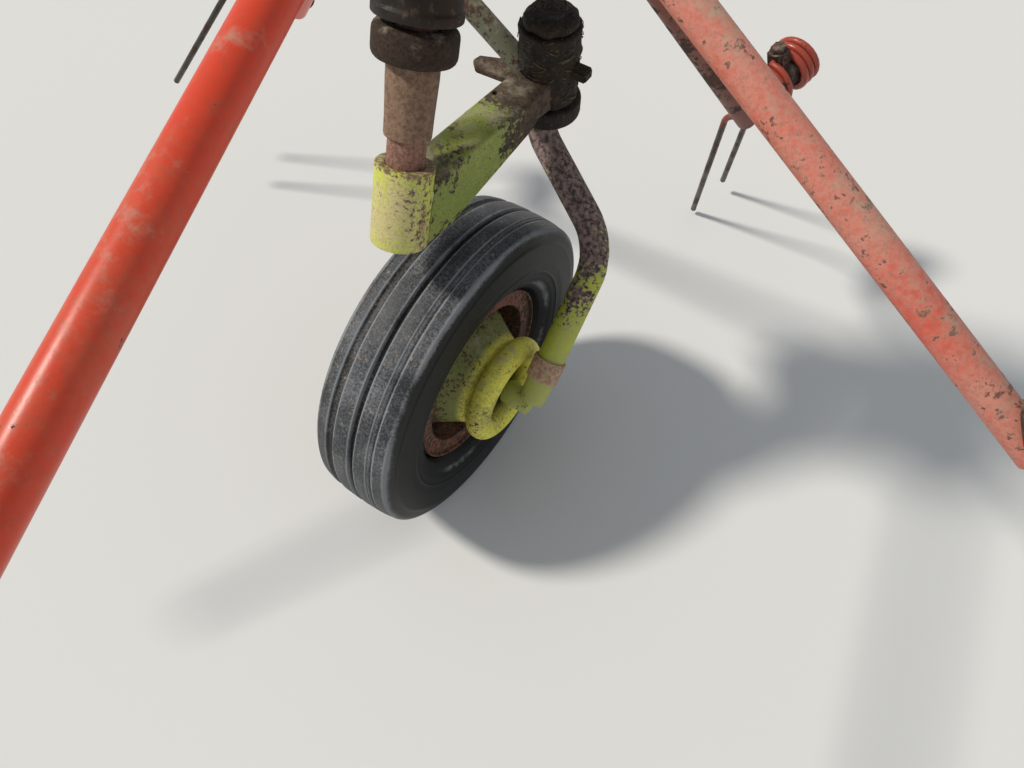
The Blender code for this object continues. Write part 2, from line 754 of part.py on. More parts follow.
def build_leg(swivel, wheel, rusty, dark, steel):
    """Swivel pin, collar, bent leg tube with its axle boss, strap and axle pin."""
    pin_top = POST_TOP - 0.002
    pin = [
        (0, COLLAR_FLOOR + SEAT),
        (SWIVEL_PIN_RADIUS, COLLAR_FLOOR + SEAT),
        (SWIVEL_PIN_RADIUS, pin_top - 0.001),
        (SWIVEL_PIN_RADIUS - 0.001, pin_top),
        (0, pin_top),
    ]
    piece("swivel_pin", lathe(pin, 24), swivel, steel)
    collar_top = POST_BOTTOM - SWIVEL_GAP
    collar = [
        (0, COLLAR_BOTTOM),
        (COLLAR_RADIUS - 0.006, COLLAR_BOTTOM),
        (COLLAR_RADIUS, COLLAR_BOTTOM + 0.006),
        (COLLAR_RADIUS, collar_top - 0.003),
        (COLLAR_RADIUS - 0.003, collar_top),
        (SWIVEL_PIN_RADIUS + SEAT * 2, collar_top),
        (SWIVEL_PIN_RADIUS + SEAT * 2, COLLAR_FLOOR),
        (0, COLLAR_FLOOR),
    ]
    piece("swivel_collar", lathe(collar), swivel, dark)

    path = bent_path(LEG_CORNERS, LEG_BENDS)
    leg = piece("leg_tube", tube(bmesh.new(), path, LEG_RADIUS, LEG_SIDES), wheel, rusty)
    leg_x = LEG_CORNERS[-1][0]
    boss = rod(bmesh.new(), (BOSS_START, 0, 0), (leg_x, 0, 0), BOSS_RADIUS, 20)
    boolean(leg, boss, "UNION", wheel, "axle_boss_guide")

    tip = Vector(LEG_CORNERS[-1])
    way = (Vector(LEG_CORNERS[-2]) - tip).normalized()
    near = tip + way * (STRAP_CENTRE - STRAP_LENGTH / 2)
    far = near + way * STRAP_LENGTH
    outside = rod(bmesh.new(), near, far, LEG_RADIUS + STRAP_THICKNESS, LEG_SIDES)
    strap = piece("leg_strap", outside, wheel, rusty)
    clear_of_leg = (LEG_RADIUS + SEAT) / math.cos(math.pi / LEG_SIDES)
    inside = rod(bmesh.new(), near - way * PAST, far + way * PAST, clear_of_leg, LEG_SIDES)
    boolean(strap, inside, "DIFFERENCE", wheel, "strap_inside")

    axle_pin = rod(bmesh.new(), (AXLE_PIN_INNER, 0, 0), (BOSS_START - SEAT, 0, 0), AXLE_PIN_RADIUS, 24)
    piece("axle_pin", axle_pin, wheel, steel)


def build_wheel(wheel, rubber, orange, green, dark):
    """Tyre, rim, hub guard with its rolled bead, web and hub, turning on the axle pin."""
    profile = [(radius, across) for across, radius in TYRE_PROFILE]
    piece("tyre", lathe(raised(profile, TYRE_MIDDLE), TYRE_SIDES, "X", closed=True), wheel, rubber)

    outer = RIM_RADIUS - SEAT
    inner = outer - RIM_SHEET
    seat_x = RIM_SEAT_X
    lip_x = RIM_HALF_WIDTH
    lip_inside = RIM_FLANGE_RADIUS - RIM_SHEET
    rim = [
        (inner, -seat_x),
        (inner, seat_x),
        (inner, seat_x + RIM_SHEET),
        (lip_inside, seat_x + RIM_SHEET),
        (lip_inside, lip_x),
        (RIM_FLANGE_RADIUS, lip_x),
        (RIM_FLANGE_RADIUS, seat_x),
        (outer, seat_x),
        (outer, -seat_x),
        (RIM_FLANGE_RADIUS, -seat_x),
        (RIM_FLANGE_RADIUS, -lip_x),
        (lip_inside, -lip_x),
        (lip_inside, -seat_x - RIM_SHEET),
        (inner, -seat_x - RIM_SHEET),
    ]
    piece("rim", lathe(raised(rim, TYRE_MIDDLE), TYRE_SIDES, "X", closed=True), wheel, orange)

    build_guard(wheel, green, inner)

    bore = AXLE_PIN_RADIUS + BEARING_GAP
    hub = [
        (bore, HUB_INNER),
        (HUB_RADIUS - 0.002, HUB_INNER),
        (HUB_RADIUS, HUB_INNER + 0.002),
        (HUB_RADIUS, HUB_OUTER - 0.002),
        (HUB_RADIUS - 0.002, HUB_OUTER),
        (bore, HUB_OUTER),
    ]
    piece("wheel_hub", lathe(hub, 24, "X", closed=True), wheel, dark)

    back = WEB_PROFILE + [(inner - SEAT, WEB_EDGE_X)]
    web = back + list(reversed(raised(back, WEB_SHEET)))
    piece("wheel_web", lathe(web, HEAD_SIDES, "X", closed=True), wheel, orange)


def build_guard(wheel, green, rim_inside):
    """Coned hub guard that ends in a rolled bead, with three gaps where it meets the rim."""
    root = rim_inside - SEAT
    neck = BEAD_RING_RADIUS
    waist_radius, waist_x = GUARD_WAIST
    profile = [
        (root - GUARD_SHEET, GUARD_ROOT_X),
        (root, GUARD_ROOT_X),
        (root, GUARD_ROOT_X + GUARD_STRAIGHT),
        (waist_radius, waist_x),
        (neck + GUARD_SHEET, GUARD_NECK_X),
    ]
    for k in range(BEAD_STEPS + 1):
        angle = math.radians(-75 + 330 * k / BEAD_STEPS)
        radius = neck + BEAD_TUBE_RADIUS * math.cos(angle)
        profile.append((radius, BEAD_X + BEAD_TUBE_RADIUS * math.sin(angle)))
    profile += [
        (neck, GUARD_NECK_X),
        (waist_radius - GUARD_SHEET, waist_x),
        (root - GUARD_SHEET, GUARD_ROOT_X + GUARD_STRAIGHT),
    ]
    guard = piece("hub_guard", lathe(profile, HEAD_SIDES, "X", closed=True), wheel, green)
    gaps = bmesh.new()
    for i in range(GUARD_GAPS):
        turn = Matrix.Rotation(GUARD_GAP_AZIMUTH + 2 * math.pi * i / GUARD_GAPS, 4, "X")
        low = (GUARD_ROOT_X - PAST, root - GUARD_GAP_DEPTH, -GUARD_GAP_HALF)
        high = (GUARD_GAP_END_X, root + PAST, GUARD_GAP_HALF)
        notch = block(bmesh.new(), low, high)
        bmesh.ops.transform(notch, matrix=turn, verts=notch.verts)
        scratch = bpy.data.meshes.new("gap")
        notch.to_mesh(scratch)
        notch.free()
        gaps.from_mesh(scratch)
        bpy.data.meshes.remove(scratch)
    boolean(guard, gaps, "DIFFERENCE", wheel, "guard_gaps")


def build_lever(post, green):
    """Short round lever on the inboard side of the swivel housing."""
    lever = piece("swivel_lever", tube(bmesh.new(), LEVER_PATH, LEVER_RADIUS, 12), post, green)
    boolean(lever, post_cut(), "DIFFERENCE", post, "lever_post_cut")


def main():
    """Build the whole rotor unit."""
    clear_scene()
    red = material("red_paint", (0.60, 0.10, 0.05), 0.45, 0.0)
    green = material("green_paint", (0.45, 0.50, 0.08), 0.55, 0.0)
    orange = material("rim_paint", (0.55, 0.16, 0.06), 0.6, 0.0)
    rusty = material("rusty_iron", (0.17, 0.10, 0.065), 0.85, 0.2)
    dark = material("greasy_iron", (0.035, 0.030, 0.027), 0.6, 0.3)
    steel = material("spring_steel", (0.10, 0.09, 0.085), 0.35, 0.9)
    rubber = material("tyre_rubber", (0.02, 0.02, 0.021), 0.7, 0.0)

    beam = empty("beam_frame")
    gearbox = empty("gearbox_frame", beam, (-FLANGE_REACH, 0, 0), (-TILT, 0, 0))
    axle = empty("axle_frame", gearbox, (0, 0, -AXLE_DROP))
    rotor = empty("rotor_axis", gearbox, (0, 0, -AXLE_DROP), (0, 0, ARM_PHASE))

    sleeve_y = -AXLE_DROP * math.sin(TILT)
    sleeve_z = -AXLE_DROP * math.cos(TILT)
    heading = -math.atan2(POST_OUTBOARD, POST_FORWARD)
    bracket = empty("bracket_frame", beam, (-FLANGE_REACH, sleeve_y, sleeve_z), (0, 0, heading))
    post_place = (-FLANGE_REACH + POST_OUTBOARD, sleeve_y + POST_FORWARD, sleeve_z - SLEEVE_HEIGHT)
    post = empty("post_frame", beam, post_place, (0, 0, -WHEEL_YAW))
    swivel = empty("swivel_axis", beam, post_place, (0, 0, -WHEEL_YAW))
    wheel = empty("wheel_axis", swivel, (-POST_OFFSET, -TRAIL, 0))

    build_gearbox(axle, rusty)
    build_flange("beam_flange_right", 1, beam, rusty)
    build_flange("beam_flange_left", -1, beam, rusty)
    build_axle(axle, rusty, dark, green)
    build_rotor_head(rotor, dark)
    build_arms(rotor, red, steel)
    build_bracket(bracket, axle, post, green)
    build_post(post, dark, rusty, green)
    build_lever(post, green)
    build_leg(swivel, wheel, rusty, dark, steel)
    build_wheel(wheel, rubber, orange, green, dark)


main()
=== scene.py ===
# %% [markdown]
# # A hay tedder's rotor unit and its ground wheel
# A tedder spreads cut grass so that it dries. Each rotor turns on an axle that leans forward, and a
# small wheel on a swivelling leg carries it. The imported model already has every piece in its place.
# This lesson dresses it: finer shapes, worn paint, rust, grease and dust, all made with nodes.

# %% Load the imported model
import math
import random
from functools import partial

import bmesh
import bpy
from mathutils import Matrix, Vector, noise


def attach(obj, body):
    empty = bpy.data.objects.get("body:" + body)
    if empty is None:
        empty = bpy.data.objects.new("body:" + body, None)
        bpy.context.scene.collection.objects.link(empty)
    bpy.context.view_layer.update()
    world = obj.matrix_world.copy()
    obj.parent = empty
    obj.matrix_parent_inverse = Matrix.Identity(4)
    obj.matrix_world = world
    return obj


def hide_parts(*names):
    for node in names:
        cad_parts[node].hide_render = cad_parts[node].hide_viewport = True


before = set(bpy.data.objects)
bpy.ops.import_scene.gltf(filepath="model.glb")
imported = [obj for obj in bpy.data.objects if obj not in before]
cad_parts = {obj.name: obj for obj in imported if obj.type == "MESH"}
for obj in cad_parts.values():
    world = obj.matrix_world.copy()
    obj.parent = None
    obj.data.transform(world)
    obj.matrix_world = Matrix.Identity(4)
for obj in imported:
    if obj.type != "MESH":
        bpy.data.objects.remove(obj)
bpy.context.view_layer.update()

# %% [markdown]
# ## Frames
# The solids were drawn in four tilted or turned frames: the rotor's axle, the bracket arm, the swivel
# post and the wheel. A piece that is drawn in the same frame needs no fitting, and its object
# coordinates then run along its own axis, which the worn finishes use.

# %% The frames of the pieces
TILT = math.radians(23.3)
AXLE_DROP = 0.430       # from the middle of the gearbox down the axle to the sleeve
SLEEVE_SIDE = -0.120
SLEEVE_MIDDLE = Vector((SLEEVE_SIDE, -AXLE_DROP * math.sin(TILT), -AXLE_DROP * math.cos(TILT)))
ARM_PHASE = math.radians(-9.1)
POST_SIDE = 0.060       # from the sleeve to the swivel post
POST_AHEAD = 0.209
WHEEL_DROP = 0.297      # from the sleeve down to the wheel's centre
WHEEL_YAW = math.radians(9.4)
WHEEL_SIDE = -0.025     # from the swivel post to the wheel
WHEEL_TRAIL = 0.190
TYRE_MIDDLE = 0.021     # the tyre's middle plane, along the wheel's axis
TYRE_RADIUS = 0.2098

AXLE = Matrix.Translation(SLEEVE_MIDDLE) @ Matrix.Rotation(-TILT, 4, "X")
ROTOR = AXLE @ Matrix.Rotation(ARM_PHASE, 4, "Z")
BRACKET_HEADING = -math.atan2(POST_SIDE, POST_AHEAD)
BRACKET = Matrix.Translation(SLEEVE_MIDDLE) @ Matrix.Rotation(BRACKET_HEADING, 4, "Z")
POST_PLACE = SLEEVE_MIDDLE + Vector((POST_SIDE, POST_AHEAD, -WHEEL_DROP))
POST = Matrix.Translation(POST_PLACE) @ Matrix.Rotation(-WHEEL_YAW, 4, "Z")
WHEEL = POST @ Matrix.Translation((WHEEL_SIDE, -WHEEL_TRAIL, 0))
WORLD = Matrix.Identity(4)
GROUND = WHEEL.translation.z - TYRE_RADIUS
print("wheel centre:", [round(v, 4) for v in WHEEL.translation], "ground at", round(GROUND, 4))

# %% [markdown]
# ## Camera and light
# The photograph was taken from above the rotor, looking down past the arms at the wheel. The camera's
# place and direction come from the outline of the tyre. A broad sun from the left and an even sky
# together light a surface at about the level at which its colour is written.

# %% Camera
CAMERA_OFFSET = Vector((0.3034, -0.4505, 0.8338))    # from the wheel's centre
CAMERA_RIGHT = Vector((0.9100, 0.4150, 0.0000))
CAMERA_UP = Vector((-0.3576, 0.7849, 0.5060))
CAMERA_BACK = Vector((0.2106, -0.4606, 0.8625))
LENS_MM = 27.0
SENSOR_MM = 36.0
camera_data = bpy.data.cameras.new("camera")
camera_data.lens = LENS_MM
camera_data.sensor_width = SENSOR_MM
camera_data.clip_start = 0.02
camera = bpy.data.objects.new("camera", camera_data)
bpy.context.scene.collection.objects.link(camera)
turn = Matrix((CAMERA_RIGHT, CAMERA_UP, CAMERA_BACK)).transposed().to_4x4()
camera.matrix_world = Matrix.Translation(WHEEL.translation + CAMERA_OFFSET) @ turn
bpy.context.scene.camera = camera
bpy.context.scene.view_settings.view_transform = "Standard"
print("camera at", [round(v, 4) for v in camera.location])

# %% Sky and sun
SKY_COLOUR = (0.86, 0.93, 1.0, 1.0)
SKY_STRENGTH = 0.42
SUN_COLOUR = (1.0, 0.96, 0.88)
SUN_STRENGTH = 2.7
SUN_WIDTH = math.radians(7.0)
TO_SUN = Vector((-0.62, -0.22, 0.75))
sky = bpy.data.worlds.new("sky")
sky.use_nodes = True
sky.node_tree.nodes["Background"].inputs["Color"].default_value = SKY_COLOUR
sky.node_tree.nodes["Background"].inputs["Strength"].default_value = SKY_STRENGTH
bpy.context.scene.world = sky
sun_data = bpy.data.lights.new("sun", "SUN")
sun_data.energy = SUN_STRENGTH
sun_data.color = SUN_COLOUR
sun_data.angle = SUN_WIDTH
sun = bpy.data.objects.new("sun", sun_data)
bpy.context.scene.collection.objects.link(sun)
sun.rotation_euler = TO_SUN.to_track_quat("Z", "Y").to_euler()
print("sun", round(math.degrees(math.asin(TO_SUN.normalized().z))), "degrees up")

# %% [markdown]
# ## Small tools for nodes
# A finish is a tree of nodes. These helpers make a node and set or link its inputs in one call, so
# that each finish below reads as a list of what it mixes.

# %% Nodes and their inputs
def fill(node, inputs):
    """Give each input a number, a colour, the socket that feeds it, or a function that builds one."""
    for key, value in inputs.items():
        socket = node.inputs[key]
        if callable(value):
            value = value(node.id_data)
        if isinstance(value, bpy.types.NodeSocket):
            node.id_data.links.new(value, socket)
        else:
            socket.default_value = (*value, 1.0) if socket.type == "RGBA" else value


def add(tree, kind, inputs=None, **settings):
    """Make a shader node with its settings and inputs."""
    made = tree.nodes.new("ShaderNode" + kind)
    for key, value in settings.items():
        setattr(made, key, value)
    fill(made, inputs or {})
    return made


def object_place(tree):
    """Where a point is in its object's own frame."""
    return add(tree, "TexCoord").outputs["Object"]


def new_group(name, inputs, outputs):
    """Make a node group with named sockets, and return it with its two end nodes."""
    tree = bpy.data.node_groups.new(name, "ShaderNodeTree")
    for direction, sockets in (("INPUT", inputs), ("OUTPUT", outputs)):
        for label, kind in sockets:
            tree.interface.new_socket(label, in_out=direction, socket_type="NodeSocket" + kind)
    return tree, tree.nodes.new("NodeGroupInput"), tree.nodes.new("NodeGroupOutput")


print("nodes ready")

# %% Arithmetic, masks and noise
def calc(operation, first, second=0.0, clamp=False):
    """One step of arithmetic on sockets or numbers, in the tree that the sockets belong to."""
    tree = next(value.id_data for value in (first, second) if isinstance(value, bpy.types.NodeSocket))
    return add(tree, "Math", {0: first, 1: second}, operation=operation, use_clamp=clamp).outputs[0]


plus = partial(calc, "ADD")
minus = partial(calc, "SUBTRACT")
times = partial(calc, "MULTIPLY")


def fade_in(value, low, high, to_low=0.0, to_high=1.0):
    """A smooth step: to_low below low, to_high above high."""
    inputs = {"Value": value, "From Min": low, "From Max": high, "To Min": to_low, "To Max": to_high}
    return add(value.id_data, "MapRange", inputs, interpolation_type="SMOOTHSTEP").outputs["Result"]


def mix(mask, first, second):
    """Blend two colours by a mask."""
    return add(mask.id_data, "Mix", {0: mask, 6: first, 7: second}, data_type="RGBA").outputs[2]


def noise_of(where, scale, detail=6.0, roughness=0.6):
    """Noise between 0 and 1 at a place."""
    inputs = {"Vector": where, "Scale": scale, "Detail": detail, "Roughness": roughness}
    return add(where.id_data, "TexNoise", inputs).outputs[0]


print("arithmetic, masks and noise ready")

# %% [markdown]
# ## Effects that several finishes share
# Old machine paint fades, chips and rusts in patches that have small flecks round them. The first
# group makes that: two sizes of noise are added, and where the sum passes a threshold the paint is
# gone. The second lays dry dust on what faces up. The third is the grain of rusted or cast iron.

# %% Worn paint
worn, worn_in, worn_out = new_group(
    "worn paint",
    [("Paint", "Color"), ("Faded", "Color"), ("Rust", "Color"), ("Dark Rust", "Color"),
     ("Patch Scale", "Float"), ("Wear", "Float"), ("Fade", "Float"), ("Edge", "Float"),
     ("Speckle", "Float"), ("Mottle", "Float")],
    [("Colour", "Color"), ("Bare", "Float"), ("Height", "Float")],
)
where = object_place(worn)
patch_scale = worn_in.outputs["Patch Scale"]
patches = noise_of(where, patch_scale, 7.0, 0.62)
flecks = noise_of(where, times(patch_scale, 7.0), 5.0, 0.68)
cloud = noise_of(where, times(patch_scale, 0.45), 4.0, 0.55)
speckle_share = worn_in.outputs["Speckle"]
patch_share = minus(1.0, speckle_share)
score = plus(times(patches, patch_share), times(flecks, speckle_share))
score = plus(score, times(worn_in.outputs["Edge"], 0.30))
threshold = minus(0.76, times(worn_in.outputs["Wear"], 0.52))
above = minus(score, threshold)
bare = fade_in(above, -0.012, 0.020)
chipped_edge = minus(fade_in(above, -0.035, -0.008), bare, clamp=True)
fade_score = plus(cloud, times(minus(flecks, 0.5), 0.7))
fade_score = plus(fade_score, times(worn_in.outputs["Fade"], 0.55))
faded_mask = fade_in(fade_score, 0.52, 0.92)
paint_colour = mix(faded_mask, worn_in.outputs["Paint"], worn_in.outputs["Faded"])
freckles = noise_of(where, times(patch_scale, 17.0), 4.0, 0.70)
freckle_mask = times(fade_in(freckles, 0.47, 0.62), worn_in.outputs["Mottle"])
paint_colour = mix(freckle_mask, paint_colour, worn_in.outputs["Rust"])
rust_mask = fade_in(flecks, 0.40, 0.62)
rust_colour = mix(rust_mask, worn_in.outputs["Rust"], worn_in.outputs["Dark Rust"])
stained = mix(times(chipped_edge, 0.55), paint_colour, worn_in.outputs["Rust"])
film = times(minus(1.0, bare), 0.6)
pitted = times(times(flecks, bare), 0.8)
fill(worn_out, {"Colour": mix(bare, stained, rust_colour), "Bare": bare, "Height": plus(film, pitted)})
print("group:", worn.name, len(worn.nodes), "nodes")

# %% Dust on what faces up
dusty, dusty_in, dusty_out = new_group(
    "dust",
    [("Colour", "Color"), ("Dust", "Color"), ("Amount", "Float"), ("Scale", "Float")],
    [("Colour", "Color"), ("Mask", "Float")],
)
where = object_place(dusty)
facing = add(dusty, "SeparateXYZ", {0: add(dusty, "NewGeometry").outputs["Normal"]}).outputs["Z"]
speckle = noise_of(where, dusty_in.outputs["Scale"], 8.0, 0.72)
upward = plus(speckle, times(facing, 0.16))
amount = times(dusty_in.outputs["Amount"], 0.45)
dust_mask = fade_in(plus(upward, amount), 0.66, 0.95, 0.0, 0.85)
laid = mix(dust_mask, dusty_in.outputs["Colour"], dusty_in.outputs["Dust"])
fill(dusty_out, {"Colour": laid, "Mask": dust_mask})
print("group:", dusty.name, len(dusty.nodes), "nodes")

# %% Grain of rust and cast iron
grain, grain_in, grain_out = new_group("iron grain", [("Scale", "Float")], [("Height", "Float")])
where = object_place(grain)
grit = noise_of(where, grain_in.outputs["Scale"], 8.0, 0.75)
cells = add(grain, "TexVoronoi", {"Vector": where, "Scale": times(grain_in.outputs["Scale"], 1.6)})
pits = fade_in(cells.outputs["Distance"], 0.10, 0.35)
fill(grain_out, {"Height": plus(grit, times(pits, 0.35))})
print("group:", grain.name, len(grain.nodes), "nodes")

# %% [markdown]
# ## Finishes
# Most of the machine is painted steel that has been outside for years. One function makes such a
# finish from its colours and its wear. The shader itself stays in the material, and the roughness
# follows the mask of bare metal, because paint still shines where rust doesn't.

# %% Starting a finish
def start_finish(name, metallic=0.0):
    """A material with its tree and its Principled shader."""
    made = bpy.data.materials.new(name)
    made.use_nodes = True
    shader = made.node_tree.nodes["Principled BSDF"]
    fill(shader, {"Metallic": metallic})
    return made, made.node_tree, shader


def bumped(height, strength, distance):
    """A normal that follows a height."""
    inputs = {"Strength": strength, "Distance": distance, "Height": height}
    return add(height.id_data, "Bump", inputs).outputs[0]


print("finishes can start")

# %% Worn metal
DUST = (0.42, 0.37, 0.27)
DUST_SCALE = 38.0
BUMP_DEPTH = 0.0008
RUST_ROUGHNESS = 0.88


def worn_metal(name, paint, faded, rust, dark, scale, wear, fade, dust, gloss, speckle=0.38, mottle=0.0,
               edge=0.0, bump=0.5, grain_scale=160.0, specular=0.5):
    """Paint that has faded and chipped over rusty iron, with dust. Gloss is the paint's roughness."""
    made, tree, shader = start_finish(name)
    coat = add(tree, "Group", node_tree=worn, inputs={
        "Paint": paint, "Faded": faded, "Rust": rust, "Dark Rust": dark, "Patch Scale": scale,
        "Wear": wear, "Fade": fade, "Edge": edge, "Speckle": speckle, "Mottle": mottle})
    bare = coat.outputs["Bare"]
    cover = add(tree, "Group", node_tree=dusty, inputs={
        "Colour": coat.outputs["Colour"], "Dust": DUST, "Amount": dust, "Scale": DUST_SCALE})
    texture = add(tree, "Group", node_tree=grain, inputs={"Scale": grain_scale})
    surface = times(texture.outputs["Height"], fade_in(bare, 0.0, 1.0, 0.15, 1.0))
    dull = fade_in(bare, 0.0, 1.0, gloss, RUST_ROUGHNESS)
    dull = plus(dull, times(cover.outputs["Mask"], 0.35), clamp=True)
    fill(shader, {
        "Base Color": cover.outputs["Colour"], "Roughness": dull, "Specular IOR Level": specular,
        "Normal": bumped(plus(coat.outputs["Height"], surface), bump, BUMP_DEPTH)})
    return made


def along_axis(axis, low, high, to_low, to_high):
    """A value that changes along an object axis, for wear that differs from end to end."""
    def build(tree):
        parts = add(tree, "SeparateXYZ", {0: object_place(tree)})
        return fade_in(parts.outputs[axis], low, high, to_low, to_high)
    return build


def two_paints(mask, first, second):
    """Two colours that meet where a mask changes."""
    return lambda tree: mix(mask(tree), first, second)


print("worn metal ready")

# %% [markdown]
# ## Red and lime paint
# The arms are red. Sun has bleached the right one to pink, and the one behind it is a dark brown-red, as
# painted shade.
# The bracket, the sleeve, the guard and the leg are lime, and each wears more toward one end or side, so
# their wear is a value that changes along the piece. The bracket's lime and the guard's cone are darker
# than the sleeve's, as painted shade, and the guard's bead is a brighter yellow than its cone, as
# painted light.

# %% Red paint
RUST = (0.150, 0.062, 0.034)
DARK_RUST = (0.050, 0.026, 0.018)
arm_fresh = worn_metal(
    "red arm paint",
    (0.700, 0.060, 0.022), (0.620, 0.105, 0.050), (0.20, 0.095, 0.075), DARK_RUST,
    scale=13.0, wear=0.22, fade=0.28, dust=0.02, gloss=0.34, speckle=0.58, mottle=0.14, specular=0.32)
arm_faded = worn_metal(
    "faded red arm paint",
    (0.66, 0.095, 0.058), (0.63, 0.255, 0.185), (0.36, 0.165, 0.120), (0.20, 0.085, 0.062),
    scale=19.0, wear=0.34, fade=0.50, dust=0.16, gloss=0.52, speckle=0.72, mottle=0.48, specular=0.35)
# The arm behind the right one: its red paint is made dark brown-red as painted shade.
arm_red_in_painted_shade = worn_metal(
    "red arm paint in painted shade",
    (0.17, 0.035, 0.020), (0.25, 0.075, 0.045), (0.11, 0.045, 0.028), DARK_RUST,
    scale=14.0, wear=0.50, fade=0.5, dust=0.2, gloss=0.5)
rim_paint = worn_metal(
    "rim paint",
    (0.26, 0.058, 0.028), (0.24, 0.105, 0.062), (0.105, 0.054, 0.034), DARK_RUST,
    scale=26.0, wear=0.52, fade=0.5, dust=0.15, gloss=0.6, speckle=0.55, mottle=0.30)
housing_red = worn_metal(
    "gearbox paint",
    (0.32, 0.055, 0.030), (0.36, 0.13, 0.085), RUST, DARK_RUST,
    scale=24.0, wear=0.46, fade=0.6, dust=0.3, gloss=0.55, speckle=0.58, mottle=0.25)
holder_paint = worn_metal(
    "tine holder paint",
    (0.13, 0.030, 0.018), (0.18, 0.060, 0.038), (0.070, 0.034, 0.024), (0.026, 0.016, 0.013),
    scale=26.0, wear=0.62, fade=0.5, dust=0.2, gloss=0.5)
print("red finishes made")

# %% Lime paint
# The bracket's lime is darker and greener than the sleeve's, as painted shade; its rust toward the far end
# and its dust are its own.
lime_bracket_in_painted_shade = worn_metal(
    "lime bracket paint with painted shade",
    (0.21, 0.28, 0.036), (0.34, 0.37, 0.080), (0.100, 0.064, 0.038), (0.040, 0.027, 0.019),
    scale=22.0, fade=0.35, dust=0.14, gloss=0.52, speckle=0.52, mottle=0.34,
    wear=along_axis("Y", 0.10, 0.19, 0.40, 0.86))
# The sleeve's wear rises toward its +X side, so that side is browner and darker.
lime_sleeve = worn_metal(
    "lime sleeve paint",
    (0.57, 0.66, 0.025), (0.60, 0.52, 0.240), (0.34, 0.240, 0.125), (0.165, 0.108, 0.066),
    scale=26.0, fade=0.44, dust=0.16, gloss=0.55, speckle=0.70, mottle=0.48,
    edge=along_axis("Z", 0.031, 0.038, 0.0, 0.40), wear=along_axis("X", 0.006, 0.028, 0.31, 0.43))
# The cone's lime is darker than the sleeve's as painted shade, and the bead is a brighter yellow than the
# cone as painted light.
at_bead = along_axis("X", 0.064, 0.074, 0.0, 1.0)
cone_painted_shade_bead_painted_light = two_paints(at_bead, (0.190, 0.225, 0.036), (0.84, 0.78, 0.085))
guard_paint = worn_metal(
    "hub guard paint",
    cone_painted_shade_bead_painted_light, (0.30, 0.28, 0.080), (0.150, 0.088, 0.050), (0.070, 0.046, 0.031),
    scale=28.0, fade=0.16, dust=0.14, gloss=0.6, speckle=0.66, mottle=0.40,
    wear=along_axis("X", 0.016, 0.074, 0.66, 0.33))
leg_paint = worn_metal(
    "leg tube paint",
    (0.46, 0.51, 0.035), (0.42, 0.44, 0.105), (0.290, 0.200, 0.180), (0.056, 0.037, 0.035),
    scale=26.0, fade=0.36, dust=0.10, gloss=0.6, speckle=0.56, mottle=0.22,
    wear=along_axis("Z", 0.05, 0.20, 0.26, 0.68))
lever_paint = worn_metal(
    "lever paint",
    (0.100, 0.120, 0.062), (0.130, 0.140, 0.090), (0.11, 0.066, 0.042), DARK_RUST,
    scale=30.0, wear=0.44, fade=0.5, dust=0.15, gloss=0.55, speckle=0.55, mottle=0.3)
print("lime finishes made")

# %% [markdown]
# ## Rust
# The axle, its casting, the dust cup, the latch and the leg's clamp have hardly any paint left. The
# same function makes them with a high wear, and each has its own brown, from the pink tan of the
# clamp to the nearly black cup.

# %% Rusty pieces
axle_rust = worn_metal(
    "rusty axle",
    (0.46, 0.42, 0.08), (0.42, 0.32, 0.17), (0.330, 0.170, 0.125), (0.17, 0.085, 0.062),
    scale=44.0, wear=0.74, fade=0.6, dust=0.2, gloss=0.6, speckle=0.5, mottle=0.4)
brown_cast = worn_metal(
    "rusty casting",
    (0.27, 0.170, 0.108), (0.31, 0.210, 0.140), (0.265, 0.165, 0.104), (0.165, 0.096, 0.062),
    scale=30.0, wear=0.72, fade=0.4, dust=0.12, gloss=0.8, bump=1.4, mottle=0.3, grain_scale=110.0)
latch_rust = worn_metal(
    "latch plate rust",
    (0.11, 0.062, 0.040), (0.13, 0.080, 0.054), (0.105, 0.058, 0.038), (0.046, 0.028, 0.020),
    scale=30.0, wear=0.72, fade=0.4, dust=0.12, gloss=0.8, bump=1.0, mottle=0.3)
strap_rust = worn_metal(
    "leg clamp rust",
    (0.40, 0.38, 0.10), (0.58, 0.42, 0.26), (0.560, 0.370, 0.245), (0.33, 0.185, 0.120),
    scale=34.0, wear=0.70, fade=0.5, dust=0.2, gloss=0.8, bump=0.9, speckle=0.55)
cup_rust = worn_metal(
    "dust cup rust",
    (0.34, 0.36, 0.04), (0.16, 0.14, 0.05), (0.050, 0.030, 0.020), (0.026, 0.017, 0.012),
    scale=44.0, wear=0.76, fade=0.5, dust=0.1, gloss=0.7, speckle=0.6, specular=0.3)
print("rust finishes made")

# %% [markdown]
# ## Grease
# The rotor's barrel and the swivel post are black with old grease, which shines where it is wet. One
# noise parts wet from dry, and a finer one lays crumbs of dry dirt on both.

# %% Greasy iron
CRUMB_COLOUR = (0.16, 0.12, 0.075)


def greasy(name, base, rusty, sheen_low, sheen_high, scale):
    """Oily, dirty iron: dark, with wet and dry patches."""
    made, tree, shader = start_finish(name)
    where = object_place(tree)
    wet = noise_of(where, scale, 6.0, 0.6)
    crumbs = noise_of(where, scale * 8.0, 6.0, 0.7)
    spots = times(fade_in(crumbs, 0.53, 0.68), 0.45)
    dirt = mix(fade_in(wet, 0.42, 0.62), base, rusty)
    fill(shader, {
        "Base Color": mix(spots, dirt, CRUMB_COLOUR), "Specular IOR Level": 0.3,
        "Roughness": fade_in(wet, 0.38, 0.60, sheen_low, sheen_high),
        "Normal": bumped(plus(wet, times(crumbs, 0.5)), 0.7, 0.0016)})
    return made


